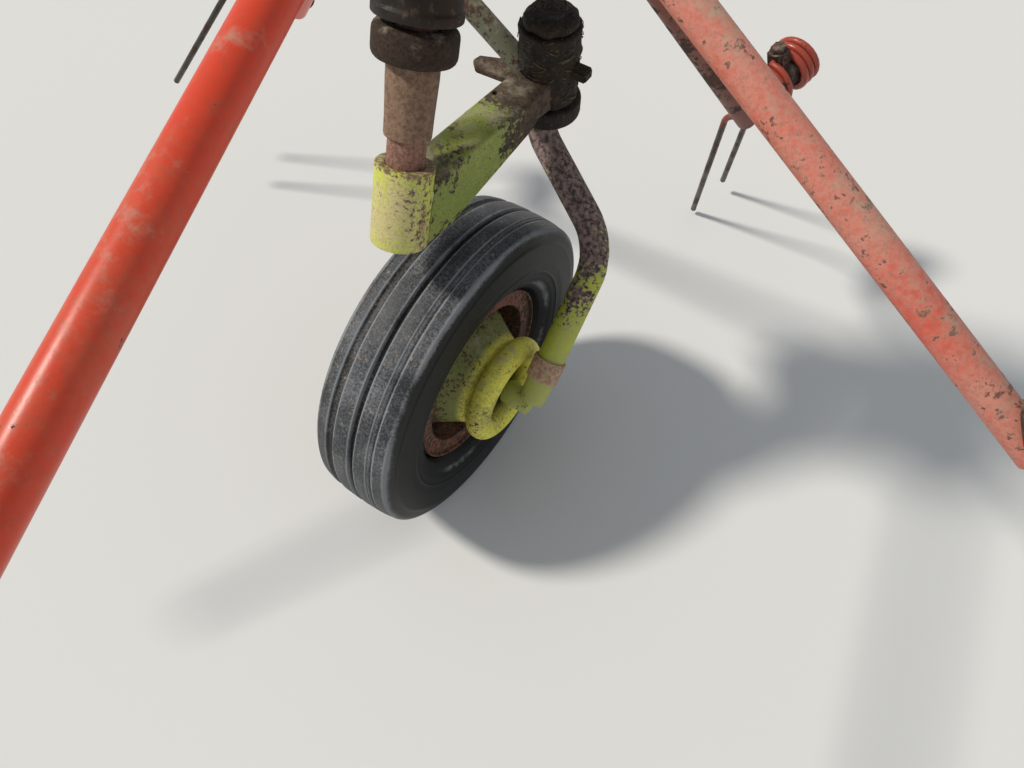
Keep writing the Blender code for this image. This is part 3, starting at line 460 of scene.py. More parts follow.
post_grease = greasy("greasy post", (0.011, 0.008, 0.006), (0.040, 0.026, 0.016), 0.60, 0.92, 38.0)
head_grease = greasy("oily rotor head", (0.012, 0.009, 0.007), (0.038, 0.023, 0.016), 0.34, 0.75, 14.0)
print("greasy finishes made")

# %% [markdown]
# ## Steel and hay
# Bolts and pins are bare steel under a thin brown film. Grass polishes the tines from their tips up,
# and red paint is left on their coils, so the paint's edge follows the height in the coil's own frame.

# %% Bare steel
steel, tree, shader = start_finish("bare steel", 0.85)
where = object_place(tree)
film = noise_of(where, 60.0, 6.0, 0.65)
filmed = mix(fade_in(film, 0.42, 0.62), (0.30, 0.28, 0.26), (0.13, 0.070, 0.042))
fill(shader, {"Base Color": filmed, "Roughness": fade_in(film, 0.40, 0.62, 0.36, 0.75)})
print("bare steel:", len(tree.nodes), "nodes")

# %% Spring steel
spring, tree, shader = start_finish("spring steel")
where = object_place(tree)
drop = add(tree, "SeparateXYZ", {0: where}).outputs["Z"]
chips = noise_of(where, 55.0, 6.0, 0.65)
ragged = times(minus(chips, 0.5), 0.18)
painted = fade_in(plus(drop, ragged), -0.100, -0.040)
painted = times(painted, fade_in(chips, 0.66, 0.58))
browned = fade_in(chips, 0.42, 0.60)
worn_steel = mix(browned, (0.062, 0.056, 0.052), (0.075, 0.042, 0.028))
fill(shader, {
    "Base Color": mix(painted, worn_steel, (0.36, 0.055, 0.030)),
    "Metallic": fade_in(painted, 0.0, 1.0, 0.75, 0.0),
    "Roughness": fade_in(chips, 0.40, 0.65, 0.28, 0.60),
    "Normal": bumped(chips, 0.35, 0.0005)})
print("spring steel:", len(tree.nodes), "nodes")

# %% Dry hay
straw, tree, shader = start_finish("dry hay")
where = object_place(tree)
shade = fade_in(noise_of(where, 90.0, 4.0, 0.6), 0.40, 0.60)
hay_colour = mix(shade, (0.045, 0.030, 0.018), (0.135, 0.095, 0.052))
fill(shader, {"Base Color": hay_colour, "Roughness": 0.85})
print("dry hay:", len(tree.nodes), "nodes")

# %% [markdown]
# ## Tyre rubber
# The sidewall is black rubber with little dust, and its base is made darker than the tread's as painted
# shade. The tread is grey with dust, palest where the edges of its ribs rub on the ground, darker in the
# grooves, and sprinkled with chaff. All of this depends on two values, the place across the tyre and the
# radius, so the finish works them out from the object coordinates.

# %% Places on the tyre
rubber, tree, shader = start_finish("tyre rubber")
where = object_place(tree)
parts = add(tree, "SeparateXYZ", {0: where})
across = minus(parts.outputs["X"], TYRE_MIDDLE)
flat = add(tree, "CombineXYZ", {"Y": parts.outputs["Y"], "Z": parts.outputs["Z"]}).outputs[0]
radius = add(tree, "VectorMath", {0: flat}, operation="LENGTH").outputs["Value"]
rings_at = add(tree, "CombineXYZ", {"X": across, "Y": radius}).outputs[0]
rings = noise_of(rings_at, 420.0, 3.0, 0.5)
smears = noise_of(where, 11.0, 6.0, 0.62)
crumbs = noise_of(where, 430.0, 6.0, 0.80)
on_tread = fade_in(radius, 0.197, 0.207)
print("values on the tyre ready")

# %% Worn edges of the ribs
RIB_EDGES = [
    # place across the tyre, half the width of the band
    (-0.0480, 0.0040), (-0.0322, 0.0018), (-0.0203, 0.0020), (0.0007, 0.0020),
    (0.0093, 0.0022), (0.0263, 0.0014), (0.0348, 0.0016), (0.0500, 0.0045),
]


def rib_edge(at, half):
    """A band round the tread, brightest at one place across it."""
    distance = calc("ABSOLUTE", minus(across, at))
    return fade_in(distance, 0.0, half, 1.0, 0.0)


worn_edges = rib_edge(*RIB_EDGES[0])
for at, half in RIB_EDGES[1:]:
    worn_edges = calc("MAXIMUM", worn_edges, rib_edge(at, half))
worn_edges = times(worn_edges, fade_in(smears, 0.34, 0.60, 0.25, 1.0))
print("worn edges:", len(RIB_EDGES))

# %% Dust, groove dirt and chaff
DUST_SHARES = [
    # what brings the dust, how much it counts
    (crumbs, 0.66), (rings, 0.12), (worn_edges, 0.27), (minus(on_tread, 0.5), 0.16),
]
dust_amount = times(smears, 0.42)
for source, share in DUST_SHARES:
    dust_amount = plus(dust_amount, times(source, share))
dust_mask = fade_in(dust_amount, 0.61, 0.88, 0.0, 0.90)
# The sidewall's base is darker than the tread's: black rubber, made darker still as painted shade.
rubber_with_painted_shade = mix(on_tread, (0.0040, 0.0040, 0.0034), (0.026, 0.027, 0.030))
in_groove = times(fade_in(radius, 0.2070, 0.2045), fade_in(radius, 0.2010, 0.2025))
groove_dirt = times(in_groove, fade_in(crumbs, 0.40, 0.60, 0.2, 0.8))
rubber_with_painted_shade = mix(groove_dirt, rubber_with_painted_shade, (0.030, 0.024, 0.016))
dusted = mix(dust_mask, rubber_with_painted_shade, (0.250, 0.258, 0.274))
chaff = noise_of(where, 150.0, 5.0, 0.8)
chaff_mask = times(fade_in(chaff, 0.600, 0.635), fade_in(smears, 0.44, 0.56))
chaff_mask = times(chaff_mask, on_tread)
fill(shader, {
    "Base Color": mix(chaff_mask, dusted, (0.34, 0.25, 0.15)), "Specular IOR Level": 0.25,
    "Roughness": fade_in(dust_mask, 0.0, 0.7, 0.48, 0.80),
    "Normal": bumped(plus(times(rings, 0.4), times(crumbs, 0.7)), 0.45, 0.0007)})
print("rubber made,", len(tree.nodes), "nodes")

# %% [markdown]
# ## Small tools for shapes
# Nearly every piece is either turned on a lathe or bent from round bar or tube, so two functions do
# most of the work. Others round the corners of a profile, because no real edge is sharp, and push a
# surface in and out by noise, because nothing here is clean.

# %% Profiles
def tube(inner, outer, low, high):
    """The profile of a tube, or of a disc when inner is 0."""
    return [(inner, low), (outer, low), (outer, high), (inner, high)]


def rounded(profile, radius, steps=3, closed=True):
    """Round the corners of a profile with short curves."""
    points = [Vector(p) for p in profile]
    out = []
    for i, corner in enumerate(points):
        ends = not closed and i in (0, len(points) - 1)
        if ends or corner.x == 0:
            out.append(tuple(corner))
            continue
        before = points[i - 1]
        after = points[(i + 1) % len(points)]
        reach = min(radius, (before - corner).length * 0.45, (after - corner).length * 0.45)
        start = corner + (before - corner).normalized() * reach
        end = corner + (after - corner).normalized() * reach
        for k in range(steps + 1):
            t = k / steps
            out.append(tuple(start * (1 - t) ** 2 + corner * 2 * t * (1 - t) + end * t ** 2))
    return out


def fine(profile, step=0.003):
    """Add points to a profile, so that noise can shape the surface between its corners."""
    out = []
    for (r0, h0), (r1, h1) in zip(profile, profile[1:]):
        count = max(1, round(math.hypot(r1 - r0, h1 - h0) / step))
        out += [(r0 + (r1 - r0) * k / count, h0 + (h1 - h0) * k / count) for k in range(count)]
    return out + [profile[-1]]


print("profile helpers ready")

# %% Lathe
def skin(shape, low, high):
    """Join two rings of points with faces. A ring of one point makes a cone."""
    count = max(len(low), len(high))
    if count == 1:
        return
    for i in range(count):
        j = (i + 1) % count
        if len(low) == 1:
            shape.faces.new((low[0], high[i], high[j]))
        elif len(high) == 1:
            shape.faces.new((low[i], low[j], high[0]))
        else:
            shape.faces.new((low[i], low[j], high[j], high[i]))


def lathe(profile, sides=96, axis="Z", closed=True):
    """Turn (radius, height) points round an axis."""
    shape = bmesh.new()
    rings = []
    for radius, height in profile:
        ring = []
        for i in range(1 if radius == 0 else sides):
            angle = 2 * math.pi * i / sides
            point = (radius * math.cos(angle), radius * math.sin(angle))
            ring.append(shape.verts.new((height, *point) if axis == "X" else (*point, height)))
        rings.append(ring)
    pairs = list(zip(rings, rings[1:]))
    if closed:
        pairs.append((rings[-1], rings[0]))
    for low, high in pairs:
        skin(shape, low, high)
    return shape


def turned_solid(profile, soften, sides=96, steps=3):
    """Turn a profile that starts and ends on the axis, with its corners rounded."""
    return lathe(rounded(profile, soften, steps, closed=False), sides, closed=False)


print("lathe ready")

# %% Bent bars
def sweep(shape, path, radius, sides=32, round_ends=0.0):
    """Add a round bar along a path. Its rings don't twist, and its ends can be softened."""
    points = [Vector(p) for p in path]
    heading = (points[1] - points[0]).normalized()
    across = heading.orthogonal().normalized()
    soft = [(0.0, round_ends), (round_ends * 0.3, round_ends * 0.3), (round_ends, 0.0)]
    rings = []
    for i, point in enumerate(points):
        before = points[i] - points[i - 1] if i else points[1] - points[0]
        after = points[i + 1] - points[i] if i + 1 < len(points) else before
        ahead = (before.normalized() + after.normalized()).normalized()
        across.rotate(heading.rotation_difference(ahead))
        heading = ahead
        across = (across - heading * across.dot(heading)).normalized()
        other = heading.cross(across)
        spots = [(point, radius)]
        if round_ends and i == 0:
            spots = [(point + heading * inset, radius - less) for inset, less in soft]
        if round_ends and i == len(points) - 1:
            spots = [(point - heading * inset, radius - less) for inset, less in reversed(soft)]
        for centre, size in spots:
            ring = []
            for k in range(sides):
                angle = 2 * math.pi * k / sides
                spoke = math.cos(angle) * across + math.sin(angle) * other
                ring.append(shape.verts.new(centre + size * spoke))
            rings.append(ring)
    for low, high in zip(rings, rings[1:]):
        skin(shape, low, high)
    shape.faces.new(list(reversed(rings[0])))
    shape.faces.new(rings[-1])
    return shape


def bend(corners, radii, steps=12):
    """Round the corners of a path, as a tube bender does. Each inner corner has its own radius."""
    corners = [Vector(c) for c in corners]
    path = [corners[0]]
    for before, corner, after, radius in zip(corners, corners[1:], corners[2:], radii):
        way_in = (corner - before).normalized()
        way_out = (after - corner).normalized()
        turn = way_in.angle(way_out)
        start = corner - way_in * radius * math.tan(turn / 2)
        inward = (way_out - way_in * way_out.dot(way_in)).normalized()
        for k in range(steps + 1):
            angle = turn * k / steps
            swing = math.sin(angle) * way_in - math.cos(angle) * inward
            path.append(start + inward * radius + radius * swing)
    path.append(corners[-1])
    return path


print("bending ready")

# %% Lumps, boxes and plates
def lumpy(shape, amount, size, seed=0.0):
    """Push the surface in and out by noise, for dents, weld and caked dirt."""
    shape.normal_update()
    for vertex in shape.verts:
        at = vertex.co / size + Vector((seed, seed * 1.7, -seed))
        vertex.co += vertex.normal * amount * noise.fractal(at, 1.0, 2.0, 3)
    return shape


def add_box(shape, size, place, bevel=0.0):
    """Add a box with its middle at a place. Its edges can be softened."""
    cube = bmesh.ops.create_cube(shape, size=1.0, matrix=place @ Matrix.Diagonal((*size, 1.0)))
    if bevel:
        edges = list({edge for vertex in cube["verts"] for edge in vertex.link_edges})
        bmesh.ops.bevel(shape, geom=edges, offset=bevel, segments=2, affect="EDGES")


def plate(outline, low, high, bevel):
    """A flat plate with softened edges."""
    shape = bmesh.new()
    bottom = [shape.verts.new((x, y, low)) for x, y in outline]
    top = [shape.verts.new((x, y, high)) for x, y in outline]
    shape.faces.new(bottom)
    shape.faces.new(list(reversed(top)))
    for i in range(len(outline)):
        j = (i + 1) % len(outline)
        shape.faces.new((bottom[i], top[i], top[j], bottom[j]))
    bmesh.ops.bevel(shape, geom=list(shape.edges), offset=bevel, segments=2, affect="EDGES")
    return shape


print("lumps, boxes and plates ready")

# %% Showing and cutting
def to_object(name, shape, place):
    """Turn a finished shape into an object in its frame."""
    mesh = bpy.data.meshes.new(name)
    bmesh.ops.recalc_face_normals(shape, faces=shape.faces)
    shape.to_mesh(mesh)
    shape.free()
    made = bpy.data.objects.new(name, mesh)
    bpy.context.scene.collection.objects.link(made)
    made.matrix_world = place
    return made


def show(name, shape, place, body, finish, nodes=(), smooth_under=38.0):
    made = to_object(name, shape, place)
    made.data.shade_smooth()
    made.data.set_sharp_from_angle(angle=math.radians(smooth_under))
    made.data.materials.append(finish)
    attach(made, body)
    if nodes:
        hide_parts(*nodes)
    return made


def cut(target, shape, place):
    """Cut a shape away from a piece, and keep only the result."""
    cutter = to_object("cutter", shape, place)
    step = target.modifiers.new("cut", "BOOLEAN")
    step.operation = "DIFFERENCE"
    step.solver = "EXACT"
    step.object = cutter
    graph = bpy.context.evaluated_depsgraph_get()
    result = bpy.data.meshes.new_from_object(target.evaluated_get(graph))
    target.modifiers.clear()
    old = target.data
    target.data = result
    result.name = target.name
    bpy.data.meshes.remove(old)
    cutter_mesh = cutter.data
    bpy.data.objects.remove(cutter)
    bpy.data.meshes.remove(cutter_mesh)


def cut_round(target, radius, low, high, place):
    """Cut a round hole along Z."""
    cut(target, lathe(tube(0, radius, low, high), 64, closed=False), place)


print("showing and cutting ready")

# %% [markdown]
# ## Tyre
# The tyre is a ribbed implement tyre. Its tread has a shoulder rib, a shallow groove, a rib, a narrow
# deep groove, a broad rib and a fine double line. A lathe profile with every groove in it gives real
# edges that catch the light, where a bump texture alone would look flat from the side.

# %% Tyre
TYRE_SIDES = 128
tyre_profile = [
    # radius, place across the tyre from its middle
    (0.1003, -0.0317), (0.1210, -0.0317), (0.1260, -0.0440), (0.1430, -0.0530), (0.1500, -0.0540),
    (0.1508, -0.0548), (0.1530, -0.0550), (0.1538, -0.0544), (0.1640, -0.0558), (0.1850, -0.0548),
    (0.1870, -0.0552), (0.1900, -0.0542), (0.1906, -0.0536), (0.2000, -0.0508), (0.2050, -0.0450),
    (0.2078, -0.0320), (0.2040, -0.0295), (0.2042, -0.0230), (0.2090, -0.0205), (0.2098, 0.0010),
    (0.2030, 0.0030), (0.2030, 0.0070), (0.2098, 0.0090), (0.2092, 0.0265), (0.2080, 0.0273),
    (0.2080, 0.0284), (0.2091, 0.0292), (0.2089, 0.0318), (0.2078, 0.0326), (0.2077, 0.0338),
    (0.2087, 0.0346), (0.2075, 0.0410), (0.2060, 0.0492), (0.1995, 0.0528), (0.1906, 0.0542),
    (0.1900, 0.0550), (0.1870, 0.0556), (0.1850, 0.0556), (0.1640, 0.0562), (0.1538, 0.0552),
    (0.1530, 0.0557), (0.1508, 0.0556), (0.1500, 0.0546), (0.1430, 0.0540), (0.1260, 0.0450),
    (0.1210, 0.0317), (0.1003, 0.0317),
]


def from_tyre_middle(profile):
    """Move a profile that is measured from the tyre's middle into the wheel's frame."""
    return [(out, along + TYRE_MIDDLE) for out, along in profile]


tyre_shape = lathe(from_tyre_middle(rounded(tyre_profile, 0.0016, 2)), TYRE_SIDES, "X")
tyre = show("ribbed_tyre", tyre_shape, WHEEL, "wheel", rubber, ["tyre"])
print("tyre:", len(tyre.data.polygons), "faces")

# %% [markdown]
# ## Rim, hub guard and hub
# The rim is rolled sheet. The guard is a cone pressed from sheet that keeps grass off the hub, and it
# ends in a rolled bead as thick as a finger. Where the guard meets the rim, three gaps show the rim.

# %% Rim
RIM_INSIDE = 0.0967
rim_profile = [
    (RIM_INSIDE, -0.0320), (RIM_INSIDE, 0.0320), (RIM_INSIDE, 0.0350), (0.1165, 0.0350), (0.1165, 0.0397),
    (0.1195, 0.0397), (0.1195, 0.0320), (0.0997, 0.0320), (0.0997, -0.0320), (0.1195, -0.0320),
    (0.1195, -0.0397), (0.1165, -0.0397), (0.1165, -0.0350), (RIM_INSIDE, -0.0350),
]
rim = lathe(from_tyre_middle(rounded(rim_profile, 0.0012, 2)), 96, "X")
show("rolled_rim", rim, WHEEL, "wheel", rim_paint, ["rim"])
print("rim made")

# %% Web and hub
web_profile = [
    (0.0243, -0.0140), (0.0450, -0.0140), (0.0620, -0.0060), (0.0964, -0.0060),
    (0.0964, -0.0020), (0.0620, -0.0020), (0.0450, -0.0100), (0.0243, -0.0100),
]
web = lathe(rounded(web_profile, 0.006, 3), 96, "X")
show("dished_web", web, WHEEL, "wheel", rim_paint, ["wheel_web"])
hub = lathe(rounded(tube(0.0133, 0.024, -0.038, 0.084), 0.002), 64, "X")
show("turned_hub", hub, WHEEL, "wheel", post_grease, ["wheel_hub"])
print("web and hub made")

# %% Hub guard
BEAD_RADIUS = 0.0155
BEAD_AT = (0.0560, 0.0950)
BEAD_STEPS = 20
GUARD_ROOT = RIM_INSIDE - 0.0003
GUARD_FOLD = 0.006
outside = [
    (GUARD_ROOT - 0.003, 0.004), (GUARD_ROOT, 0.004), (GUARD_ROOT, 0.014), (0.0720, 0.052), (0.0590, 0.076),
]
inside = [(0.0560, 0.076), (0.0690, 0.052), (GUARD_ROOT - 0.003, 0.014)]
bead = []
for k in range(BEAD_STEPS + 1):
    angle = math.radians(-75 + 330 * k / BEAD_STEPS)
    bead.append((BEAD_AT[0] + BEAD_RADIUS * math.cos(angle), BEAD_AT[1] + BEAD_RADIUS * math.sin(angle)))
outside = rounded(outside, GUARD_FOLD, 4, closed=False)
guard_shape = lathe(outside + bead + rounded(inside, GUARD_FOLD, 4, closed=False), 96, "X")
guard = show("hub_guard_cone", guard_shape, WHEEL, "wheel", guard_paint, ["hub_guard"])
print("guard made, with a bead of", len(bead), "points")

# %% Gaps at the guard's root
GAPS = 3
GAP_SIZE = (0.052, 0.020, 0.060)
GAP_ALONG = 0.020
FIRST_GAP = -12         # degrees round the wheel
gaps = bmesh.new()
for i in range(GAPS):
    turned = Matrix.Rotation(math.radians(FIRST_GAP + 360 / GAPS * i), 4, "X")
    add_box(gaps, GAP_SIZE, turned @ Matrix.Translation((GAP_ALONG, GUARD_ROOT, 0)))
cut(guard, gaps, WHEEL)
print("guard with its gaps:", len(guard.data.polygons), "faces")

# %% [markdown]
# ## Wheel leg
# One steel tube, bent twice, runs from the swivel post down to the axle, where it is welded to the
# axle's boss. A short sleeve is clamped round it near the bottom.

# %% Leg tube
LEG_RADIUS = 0.01685
TIP = (0.1355, -0.002, 0.0085)
leg_corners = [(0.018, 0.190, 0.2657), (0.018, 0.190, 0.2320), (0.1375, 0.141, 0.1580), TIP]
leg = sweep(bmesh.new(), bend(leg_corners, (0.035, 0.080)), LEG_RADIUS, 40, 0.008)
lumpy(leg, 0.0006, 0.03)
sweep(leg, [(0.0990, 0, 0), (0.1355, 0, 0)], 0.0150, 40, 0.001)
show("bent_leg_tube", leg, WHEEL, "swivel", leg_paint, ["leg_tube"])
print("leg made")

# %% Clamp on the leg
CLAMP_UP = 0.034        # from the leg's tip
CLAMP_LENGTH = 0.028
CLAMP_GAP = 0.0004      # from the leg's surface to the clamp's inside
CLAMP_OUT = 0.003       # from the leg's surface to the clamp's outside
way = (Vector(leg_corners[2]) - Vector(TIP)).normalized()
turn = way.to_track_quat("Z", "X").to_matrix().to_4x4()
clamp_frame = WHEEL @ Matrix.Translation(Vector(TIP) + way * CLAMP_UP) @ turn
clamp_profile = tube(LEG_RADIUS + CLAMP_GAP, LEG_RADIUS + CLAMP_OUT, 0.0, CLAMP_LENGTH)
leg_clamp = lumpy(lathe(rounded(clamp_profile, 0.0012, 2), 64), 0.0004, 0.01, 3.0)
show("leg_clamp", leg_clamp, clamp_frame, "swivel", strap_rust, ["leg_strap"])
print("clamp made")

# %% [markdown]
# ## Swivel post
# The leg's pin turns in a cast housing that is black with grease and chaff. Noise pushes its surface
# out in lumps, and short stalks of hay stick to it.

# %% Post
POST_RADIUS = 0.031
POST_LOW = 0.2875
POST_HIGH = 0.368
housing = lathe(fine(rounded(tube(0.0168, POST_RADIUS, POST_LOW, POST_HIGH), 0.003)), 96)
for vertex in housing.verts:
    flat = Vector((vertex.co.x, vertex.co.y, 0.0))
    clods = noise.fractal(vertex.co / 0.016, 1.0, 2.0, 4)
    caked = clods + 0.5 * noise.fractal(vertex.co / 0.005, 1.0, 2.0, 2)
    above_foot = min(1.0, max(0.0, (vertex.co.z - POST_LOW - 0.0015) / 0.006))
    if flat.length > 0.025:
        vertex.co += flat.normalized() * 0.0022 * caked * above_foot
lug_place = Matrix.Translation((0.036, 0, (POST_LOW + POST_HIGH) / 2))
add_box(housing, (0.022, 0.016, 0.012), lug_place, 0.002)
post = show("swivel_post", housing, POST, "frame", post_grease, ["swivel_housing"])
print("post:", len(post.data.polygons), "faces")

# %% Collar and cap
CAP_TOP = 0.3823
collar_profile = [
    (0, 0.2660), (0.036, 0.2660), (0.036, 0.2865), (0.0166, 0.2865), (0.0166, 0.2845), (0, 0.2845),
]
collar = turned_solid(collar_profile, 0.004, 72)
show("swivel_collar_turned", collar, POST, "swivel", post_grease, ["swivel_collar"])
cap_profile = [(0, 0.3683), (0.027, 0.3683), (0.027, 0.3770), (0.020, CAP_TOP), (0, CAP_TOP)]
cap = lathe(fine(rounded(cap_profile, 0.003, 3, closed=False)), 72, closed=False)
lumpy(cap, 0.0020, 0.014, 5.0)
show("swivel_cap_turned", cap, POST, "frame", post_grease, ["swivel_cap"])
print("collar and cap made")

# %% Stalks of hay
HAY = 130
chaff = bmesh.new()
picker = random.Random(4)
for k in range(HAY):
    angle = picker.uniform(0, 2 * math.pi)
    on_cap = k % 3 == 0
    reach = picker.uniform(0.003, 0.015) if on_cap else picker.uniform(0.0305, 0.0325)
    height = CAP_TOP + picker.uniform(-0.0004, 0.0004) if on_cap else picker.uniform(0.300, 0.366)
    start = Vector((reach * math.cos(angle), reach * math.sin(angle), height))
    along = Vector((-math.sin(angle), math.cos(angle), 0.0))
    rise = picker.uniform(-0.05, 0.02) if on_cap else picker.uniform(-0.9, 0.9)
    way = (along * picker.choice((-1, 1)) + Vector((0, 0, rise))).normalized()
    length = picker.uniform(0.006, 0.018)
    sag = Vector((-start.x, -start.y, 0)).normalized() * length * 0.22
    stalk = [start, start + way * length * 0.5, start + way * length + sag]
    sweep(chaff, stalk, picker.uniform(0.0004, 0.0008), 5)
show("hay_on_post", chaff, POST, "frame", straw)
print("stalks:", HAY)

# %% Latch plate and lever
POST_HOLE = (0.0316, 0.1, 0.5)      # its radius, low end and high end
latch_outline = [
    (0.0, -0.018), (-0.040, -0.018), (-0.078, -0.022), (-0.088, -0.012), (-0.086, -0.002), (-0.062, 0.008),
    (0.0, 0.020),
]
latch_shape = plate(latch_outline, 0.2920, 0.2990, 0.0012)
latch = show("latch_plate_cut", latch_shape, POST, "frame", latch_rust, ["latch_plate"])
cut_round(latch, *POST_HOLE, POST)
lever_bar = sweep(bmesh.new(), [(-0.010, -0.006, 0.3017), (-0.112, -0.006, 0.3685)], 0.0120, 32, 0.002)
lever = show("swivel_lever_bar", lever_bar, POST, "frame", lever_paint, ["swivel_lever"])
cut_round(lever, *POST_HOLE, POST)
print("latch plate and lever made")

# %% [markdown]
# ## Bracket arm and sleeve
# The bracket is sheet folded into a channel that is open below. Sections across it, each with two
# rounded folds, are joined from end to end, and then the sleeve and the post are cut out of it.

# %% Bracket arm
SHEET = 0.004
HALF_WIDTH = 0.022
FOLD = 0.005            # outside radius of a fold
FOLD_STEPS = 4
stations = [
    # where the top and the bottom of each section are: along the arm, height
    ((0.002, 0.0180), (-0.020, -0.0480)),
    ((0.030, 0.0188), (0.020, -0.0480)),
    ((0.050, 0.0195), (0.040, -0.0480)),
    ((0.090, 0.0211), (0.086, -0.0351)),
    ((0.130, 0.0226), (0.126, -0.0238)),
    ((0.162, 0.0238), (0.161, -0.0140)),
    ((0.178, 0.0245), (0.176, -0.0050)),
    ((0.205, 0.0255), (0.205, -0.0050)),
]
channel = bmesh.new()
sections = []
for (top_y, top_z), (low_y, low_z) in stations:
    outline = []
    for inset, sign in ((0.0, 1), (SHEET, -1)):
        half = HALF_WIDTH - inset
        corner = max(FOLD - inset, 0.0012)
        points = [(-half, 0.0)]
        for k in range(FOLD_STEPS + 1):
            angle = math.pi - math.pi / 2 * k / FOLD_STEPS
            side = -half + corner + corner * math.cos(angle)
            points.append((side, 1.0 - corner + corner * math.sin(angle)))
        points += [(-x, z) for x, z in reversed(points)]
        rise = top_z - low_z - inset
        for x, z in points[::sign]:
            height = low_z if z == 0.0 else low_z + rise + (z - 1.0)
            share = (height - low_z) / (top_z - low_z)
            outline.append(channel.verts.new((x, low_y + (top_y - low_y) * share, height)))
    sections.append(outline)
print("bracket sections:", len(sections))

# %% Skin of the bracket and its holes
for near_ring, far_ring in zip(sections, sections[1:]):
    skin(channel, near_ring, far_ring)
count = len(sections[0]) // 2
for ring in (sections[0], sections[-1]):
    for i in range(count - 1):
        channel.faces.new((ring[i], ring[i + 1], ring[-2 - i], ring[-1 - i]))
bracket = show("folded_bracket", channel, BRACKET, "frame", lime_bracket_in_painted_shade, ["bracket_arm"])
cut_round(bracket, 0.0286, -0.15, 0.15, AXLE)
cut_round(bracket, *POST_HOLE, POST)
small_hole = sweep(bmesh.new(), [(-0.015, 0.150, 0.0), (-0.015, 0.150, 0.05)], 0.003, 24)
cut(bracket, small_hole, BRACKET)
print("bracket:", len(bracket.data.polygons), "faces")

# %% Cross pin and sleeve
AXLE_RADIUS = 0.018
BORE = 0.0183
PIN_HOLE = 0.0042       # radius
pin_way = Vector((math.cos(BRACKET_HEADING), math.sin(BRACKET_HEADING), 0.0))
pin_middle = Vector((0, 0, -0.012))
pin_line = [pin_middle - pin_way * 0.04, pin_middle + pin_way * 0.04]
pin = sweep(bmesh.new(), [pin_middle - pin_way * 0.0275, pin_middle + pin_way * 0.0295], 0.0038, 24, 0.0012)
show("drive_pin", pin, AXLE, "frame", strap_rust, ["cross_pin"])
sleeve_shape = lathe(rounded(tube(BORE, 0.028, -0.041, 0.038), 0.0015), 96)
sleeve = show(
    "bracket_sleeve_turned", sleeve_shape, AXLE, "frame", lime_sleeve, ["bracket_sleeve"])
cut(sleeve, sweep(bmesh.new(), pin_line, PIN_HOLE, 24), AXLE)
print("cross pin and sleeve made")

# %% Axle, casting and dust cup
axle_shape = turned_solid(tube(0, AXLE_RADIUS, -0.036, 0.3547), 0.0015, 72)
axle = show("rotor_axle", axle_shape, AXLE, "frame", axle_rust, ["axle_column"])
cut(axle, sweep(bmesh.new(), pin_line, PIN_HOLE, 24), AXLE)
casting_profile = [
    (BORE, 0.064), (0.02175, 0.064), (0.0219, 0.080), (0.0232, 0.115), (0.0235, 0.129), (BORE, 0.129),
]
casting = lumpy(lathe(rounded(casting_profile, 0.0016), 96), 0.0005, 0.006, 7.0)
show("column_casting_rough", casting, AXLE, "frame", brown_cast, ["column_casting"])
cup = lathe(rounded(tube(BORE, 0.0370, 0.1293, 0.1585), 0.0085, 5), 96)
show("dust_cup_pressed", cup, AXLE, "frame", cup_rust, ["dust_cup"])
print("axle, casting and cup made")

# %% [markdown]
# ## Rotor head, arms and tines
# Everything here turns with the rotor. An arm, its holder and its tine are drawn along the first
# arm's axis and placed five times. The tine is one wire: a leg, a coil, a bridge under a clamp, a
# second coil and a leg.

# %% Rotor head
ARMS = 5
CONE = math.radians(32.0)    # how far the arms droop
APEX = 0.367            # where their axes meet, up the axle from the sleeve
SLOPE = math.tan(CONE)
HALF_PLATE = 0.005 / math.cos(CONE)
OVER = APEX + HALF_PLATE
UNDER = APEX - HALF_PLATE


def arm_point(along):
    """A point on the first arm's axis."""
    return Vector((along * math.cos(CONE), 0.0, APEX - along * math.sin(CONE)))


head_profile = [
    (0.0188, 0.1640), (0.0385, 0.1640), (0.0385, 0.1720), (0.0365, 0.1740),
    (0.0365, UNDER - 0.052 * SLOPE - 0.045), (0.0520, UNDER - 0.052 * SLOPE),
    (0.1400, UNDER - 0.140 * SLOPE), (0.1400, OVER - 0.140 * SLOPE),
    (0.0500, OVER - 0.050 * SLOPE), (0.0500, 0.3495), (0.0188, 0.3495),
]
head = lathe(rounded(head_profile, 0.002), 96)
for i in range(ARMS):
    spin = Matrix.Rotation(2 * math.pi * i / ARMS, 3, "Z")
    sweep(head, [spin @ arm_point(0.058), spin @ arm_point(0.185)], 0.021, 40, 0.0015)
show("rotor_head_welded", head, ROTOR, "rotor", head_grease, ["rotor_head"])
print("rotor head made")

# %% Frame of a tine
ARM_REACH = 0.650
SPOOL_INSET = 0.024     # from the arm's end to the coil's axis
COIL_TILT = math.radians(35.0)
COIL_RADIUS = 0.029
COIL_MIDDLE = 0.074
COIL_TURNS = 2 + 150 / 360
COIL_PITCH = 0.0108
COIL_AXIS = Vector((math.cos(COIL_TILT), 0, math.sin(COIL_TILT)))
TURNING = Vector((0, 1, 0))
HANGING = Vector((math.sin(COIL_TILT), 0, -math.cos(COIL_TILT)))
BASE = arm_point(ARM_REACH - SPOOL_INSET)
tine_frame = Matrix.Identity(4)
for column, vector in enumerate((COIL_AXIS, TURNING, -HANGING)):
    for row in range(3):
        tine_frame[row][column] = vector[row]
tine_frame.translation = BASE + COIL_MIDDLE * COIL_AXIS
print("tine frame at", [round(v, 4) for v in tine_frame.translation])

# %% Wire of a tine
WIRE_RADIUS = 0.00475
COIL_STEPS = 58
COIL_START = 0.013      # half the length of the bridge under the clamp
KNEE_REACH = 0.088
LEG_REACH = 0.285


def leg_way(angle):
    """A direction in the plane of the coil's circle, from turning towards hanging."""
    return Vector((0, math.cos(angle), -math.sin(angle)))


